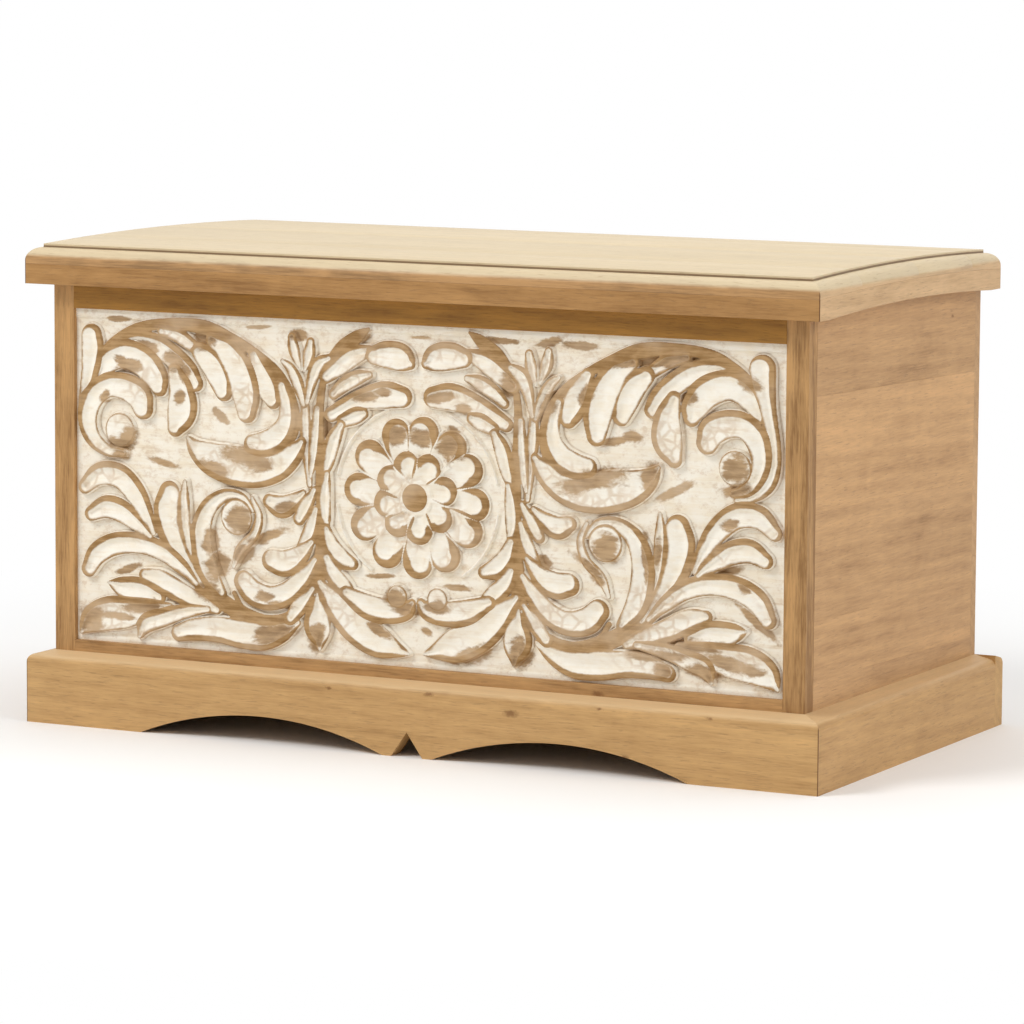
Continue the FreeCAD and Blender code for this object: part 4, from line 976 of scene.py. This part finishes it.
def board_strip(name, relief, facing, columns):
    """The relief over some columns in front, a flat back, and walls between them."""
    part = (slice(None), columns)
    x, z, height = relief.x[part], relief.z[part], relief.height[part]
    front = np.dstack([x, GROUND_Y - height, z]).reshape(-1, 3)
    loop = border_loop(*x.shape)
    back = front[loop].copy()
    back[:, 1] = panel_back
    index = np.arange(x.size).reshape(x.shape)
    quads = np.dstack([index[:-1, :-1], index[:-1, 1:], index[1:, 1:], index[1:, :-1]]).reshape(-1, 4)
    behind = x.size + np.arange(len(loop))
    walls = np.column_stack([loop, behind, np.roll(behind, -1), np.roll(loop, -1)])
    faces = quads.tolist() + walls.tolist() + [behind[::-1].tolist()]
    mesh = bpy.data.meshes.new(name)
    mesh.from_pydata(np.vstack([front, back]) * MM, [], faces)
    mesh.shade_smooth()
    normals = np.vstack([facing[part].reshape(-1, 3), np.tile([0.0, 1.0, 0.0], (len(loop), 1))])
    mesh.normals_split_custom_set_from_vertices(normals)
    for word in ("scoop", "worn", "crevice"):
        layer = mesh.attributes.new(word, "FLOAT", "POINT")
        values = getattr(relief, word)[part].ravel()
        values = np.concatenate([values, np.zeros(len(loop))])
        layer.data.foreach_set("value", values.astype(np.float32))
    strip = bpy.data.objects.new(name, mesh)
    bpy.context.scene.collection.objects.link(strip)
    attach(strip, "chest")
    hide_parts("carved_panel")
    print(name, "faces:", len(faces))
    return strip


facing = relief_normals(relief)
strips = [board_strip(f"carving_{count + 1}", relief, facing,
                      slice(count * strip_columns, (count + 1) * strip_columns + 1))
          for count in range(STRIPS)]

# %% [markdown]
# ## White wash rubbed back
# The whole panel was brushed with thin white paint and then rubbed, which bared the wood on every rim and
# in patches. The relief carries three measures: how far behind the rim a point lies, how much its leaf
# was rubbed, and how deep it sits in a crevice, where the crevices are darkened with painted shade. Noise
# frays the edges between white and brown, since a brush leaves no straight line.

# %% White wash finish
WASH_WHITE = paint(248, 242, 229)
WASH_CREAM = paint(236, 219, 189)
WASH_TAUPE = paint(205, 178, 146)
RUBBED_LIGHT = paint(182, 146, 100)
RUBBED_DARK = paint(143, 107, 60)
# The brown of the painted shade in the carving's crevices.
CREVICE_SHADE_BROWN = paint(146, 104, 54)
BEAD_STRETCH = (80.0, 40.0, 80.0)
WASH_NOISES = {
    "broad": {"stretch": (13.0, 13.0, 17.0), "detail": 3},
    "coarse": {"stretch": (48.0, 48.0, 60.0), "detail": 3},
    "fine": {"stretch": (280.0, 280.0, 320.0), "detail": 3},
    "grain": {"stretch": (16.0, 190.0, 230.0), "detail": 4, "roughness": 0.65},
    "blotch": {"stretch": (36.0, 36.0, 70.0), "detail": 4, "roughness": 0.6, "distortion": 0.5},
    "crust": {"stretch": (105.0, 105.0, 150.0), "detail": 5, "roughness": 0.72},
}
RUBBED_SHARE, SMEAR_SHARE, CRACK_SHARE, HAZE_SHARE, CREVICE_SHADE_SHARE = 0.90, 0.55, 0.50, 0.60, 0.60
GROUND_FROM = (6.3, 7.6)
WASH_ROUGHNESS, BARE_ROUGHNESS = 0.70, 0.56


def white_wash():
    """Thin white paint over brown wood, bared on the rims and in patches, with painted shade in its
    crevices.
    """
    finish = Finish("white_wash", WASH_ROUGHNESS)
    place = finish.place()
    scoop, worn, crevice = (finish.add("ShaderNodeAttribute", {"attribute_name": word}, out="Fac")
                            for word in ("scoop", "worn", "crevice"))
    broad, coarse, fine, grain, blotch, crust = (finish.noise(place, **kind)
                                                 for kind in WASH_NOISES.values())
    # The rims are bare, and their inner edge wanders
    ragged = scoop + (coarse - 0.5) * 3.6 + (fine - 0.5) * 1.0
    rim = 1 - ragged.rise(-0.9, 1.1)
    patch = (worn * 1.15 + (blotch - 0.5) * 1.3 + (fine - 0.5) * 0.30).rise(0.34, 0.66)
    bare = rim.larger(patch * RUBBED_SHARE)
    ground = scoop.rise(*GROUND_FROM)
    # White where the paint lies thick, creamier where it was wiped or has crumbled
    thin = (coarse * 0.5 + grain * 0.5).rise(0.40, 0.66)
    wash = finish.mix(WASH_WHITE, WASH_CREAM, thin * 0.50 + ground * 0.15)
    wash = finish.mix(wash, WASH_TAUPE, crust.rise(0.48, 0.70) * (0.12 + 0.38 * ground))
    smear = (grain * 0.5 + blotch * 0.5).rise(0.52, 0.68) * broad.rise(0.40, 0.60)
    wash = finish.mix(wash, WASH_TAUPE, smear * SMEAR_SHARE)
    # Lines of bare wood part the paint into beads in some of the leaves
    between = finish.add("ShaderNodeTexVoronoi", {"feature": "DISTANCE_TO_EDGE"}, {
        "Vector": finish.vector("MULTIPLY", place, BEAD_STRETCH), "Scale": 1.0}, out="Distance")
    crack = (1 - (between + (fine - 0.5) * 0.12).rise(0.02, 0.20)) * (1 - ground)
    wash = finish.mix(wash, WASH_TAUPE, crack * broad.rise(0.50, 0.62) * CRACK_SHARE)
    timber = finish.mix(RUBBED_LIGHT, RUBBED_DARK, (grain * 0.6 + blotch * 0.4).rise(0.40, 0.62))
    timber = finish.mix(timber, WASH_TAUPE, broad.rise(0.46, 0.66) * HAZE_SHARE)
    colour = finish.mix(wash, timber, bare)
    # Painted shade: the crevices are darkened brown, the deeper the darker.
    crevice_shade = (crevice + (fine - 0.5) * 0.6).rise(0.5, 2.4)
    colour = finish.mix(colour, CREVICE_SHADE_BROWN, crevice_shade * CREVICE_SHADE_SHARE)
    finish.feed(base_color=colour, roughness=WASH_ROUGHNESS - (WASH_ROUGHNESS - BARE_ROUGHNESS) * bare)
    finish.bump(grain * 0.5 + fine * 0.3 + crust * (1.6 - bare) - bare * 0.25, 0.55, 0.6 * MM)
    return finish.material


wash = white_wash()
for strip in strips:
    strip.data.materials.append(wash)
print("white wash on", len(strips), "strips")

# %% [markdown]
# ## Eased edges
# A joiner takes the sharp edge off every board with one pass of fine paper. The frame's
# boards have true sharp edges, so each gets a small Bevel. A board comes in as loose
# triangles, so Weld joins them before the Bevel looks for corners.

# %% Ease the edges of the boards
EASING = {"front_": 0.5, "plinth_": 0.9, "lid_": 0.5, "left_side": 0.25, "right_side": 0.25,
          "back_": 0.3, "hinge_rail": 0.6, "floor_": 0.4}
SHARP_ANGLE = math.radians(35)
WELD_REACH = 0.01 * MM


def ease(node, width):
    """Join a board's loose triangles and round its sharp edges."""
    weld = node.modifiers.new("weld", "WELD")
    weld.merge_threshold = WELD_REACH
    bevel = node.modifiers.new("ease", "BEVEL")
    bevel.width = width * MM
    bevel.segments = 2
    bevel.limit_method = "ANGLE"
    bevel.angle_limit = SHARP_ANGLE


for name, node in nodes.items():
    width = next((value for start, value in EASING.items() if name.startswith(start)), None)
    if width and name != "carved_panel":
        ease(node, width)
print("edges eased")

# %% [markdown]
# ## Brass and zinc
# The hinges and the folding stay are brass, gone a little dull, and the screws are zinc
# plated. A metal's colour is its reflection, so only the tarnish is painted.

# %% Metal finishes
BRASS_BRIGHT = paint(214, 180, 112)
BRASS_DULL = paint(150, 118, 66)
ZINC_BRIGHT = paint(196, 196, 190)
ZINC_DULL = paint(140, 139, 133)
TARNISH_ROUGHNESS = 0.18
BRUSHING_DEPTH = 0.05 * MM


def metal(name, bright, dull, roughness):
    """A metal with faint tarnish and fine brushing along X."""
    finish = Finish(name, roughness)
    place = finish.place()
    tarnish = finish.noise(place, (60.0, 60.0, 60.0), detail=4).rise(0.35, 0.75)
    brushing = finish.noise(place, (80.0, 1600.0, 1600.0), detail=2)
    finish.feed(base_color=finish.mix(bright, dull, tarnish), metallic=1.0,
                roughness=roughness + TARNISH_ROUGHNESS * tarnish)
    finish.bump(brushing, 0.15, BRUSHING_DEPTH)
    return finish.material


brass = metal("brass", BRASS_BRIGHT, BRASS_DULL, 0.30)
zinc = metal("zinc", ZINC_BRIGHT, ZINC_DULL, 0.34)
dressed_metal = 0
for name in nodes:
    if name.startswith(("hinge_left", "hinge_right", "hinge_chest", "hinge_lid", "stay_")):
        dress(name, zinc if name.endswith("screws") else brass)
        dressed_metal += 1
print("metal nodes:", dressed_metal)

# %% [markdown]
# ## The studio
# The floor and the world are white to the camera and to reflections, and plain to the wood.
# A large soft lamp above and in front gives the carving its shading, and a weaker one fills
# the right side. The floor keeps the trunk's shadow.

# %% Floor, world and lamps
FLOOR_REACH = 30.0
WHITE_FROM = (0.55, 1.30)
WORLD_STRENGTH = 0.43
WHITE = (1.0, 1.0, 1.0, 1.0)
LAMPS = [
    ("key_lamp", (-1.5, -2.4, 2.9), 1.4, 66.0),
    ("side_lamp", (3.0, -0.4, 1.8), 2.0, 32.0),
    ("top_lamp", (0.2, 0.6, 3.2), 2.4, 34.0),
]


def floor_white():
    """A plain floor near the trunk, fading to pure white to the camera further away."""
    finish = Finish("studio_white", 0.9)
    finish.feed(base_color=paint(252, 252, 251))
    white = finish.vector("LENGTH", finish.place(), out="Value").rise(*WHITE_FROM) * finish.seen()
    glow = finish.add("ShaderNodeEmission", None, {"Color": WHITE, "Strength": 1.0}, out="Emission")
    plain = Socket(finish, finish.shader.outputs["BSDF"])
    blend = finish.add("ShaderNodeMixShader", None, {0: white, 1: plain, 2: glow})
    finish.plug(finish.tree.nodes["Material Output"].inputs["Surface"], blend)
    return finish.material


def make_floor():
    """A wide flat floor under the trunk."""
    mesh = bpy.data.meshes.new("studio_floor")
    reach = FLOOR_REACH
    mesh.from_pydata([(-reach, -reach, 0), (reach, -reach, 0), (reach, reach, 0), (-reach, reach, 0)],
                     [], [(0, 1, 2, 3)])
    floor = bpy.data.objects.new("studio_floor", mesh)
    bpy.context.scene.collection.objects.link(floor)
    mesh.materials.append(floor_white())


def make_world():
    """A world that is white to the camera and to reflections, and softer to everything else."""
    world = bpy.data.worlds.new("studio")
    world.use_nodes = True
    bpy.context.scene.world = world
    studio = Nodes(world.node_tree)
    background = studio.tree.nodes["Background"]
    background.inputs["Color"].default_value = WHITE
    strength = WORLD_STRENGTH + (1 - WORLD_STRENGTH) * studio.seen()
    studio.plug(background.inputs["Strength"], strength)


def make_lamp(name, place, size, power):
    """A square soft lamp that points at the middle of the trunk."""
    lamp = bpy.data.lights.new(name, "AREA")
    lamp.size = size
    lamp.energy = power
    thing = bpy.data.objects.new(name, lamp)
    aim = (built_low + built_high) / 2 - Vector(place)
    thing.matrix_world = Matrix.Translation(place) @ aim.to_track_quat("-Z", "Y").to_matrix().to_4x4()
    bpy.context.scene.collection.objects.link(thing)


make_floor()
make_world()
for lamp in LAMPS:
    make_lamp(*lamp)
bpy.context.scene.view_settings.view_transform = "Standard"
print("lamps:", len(LAMPS))
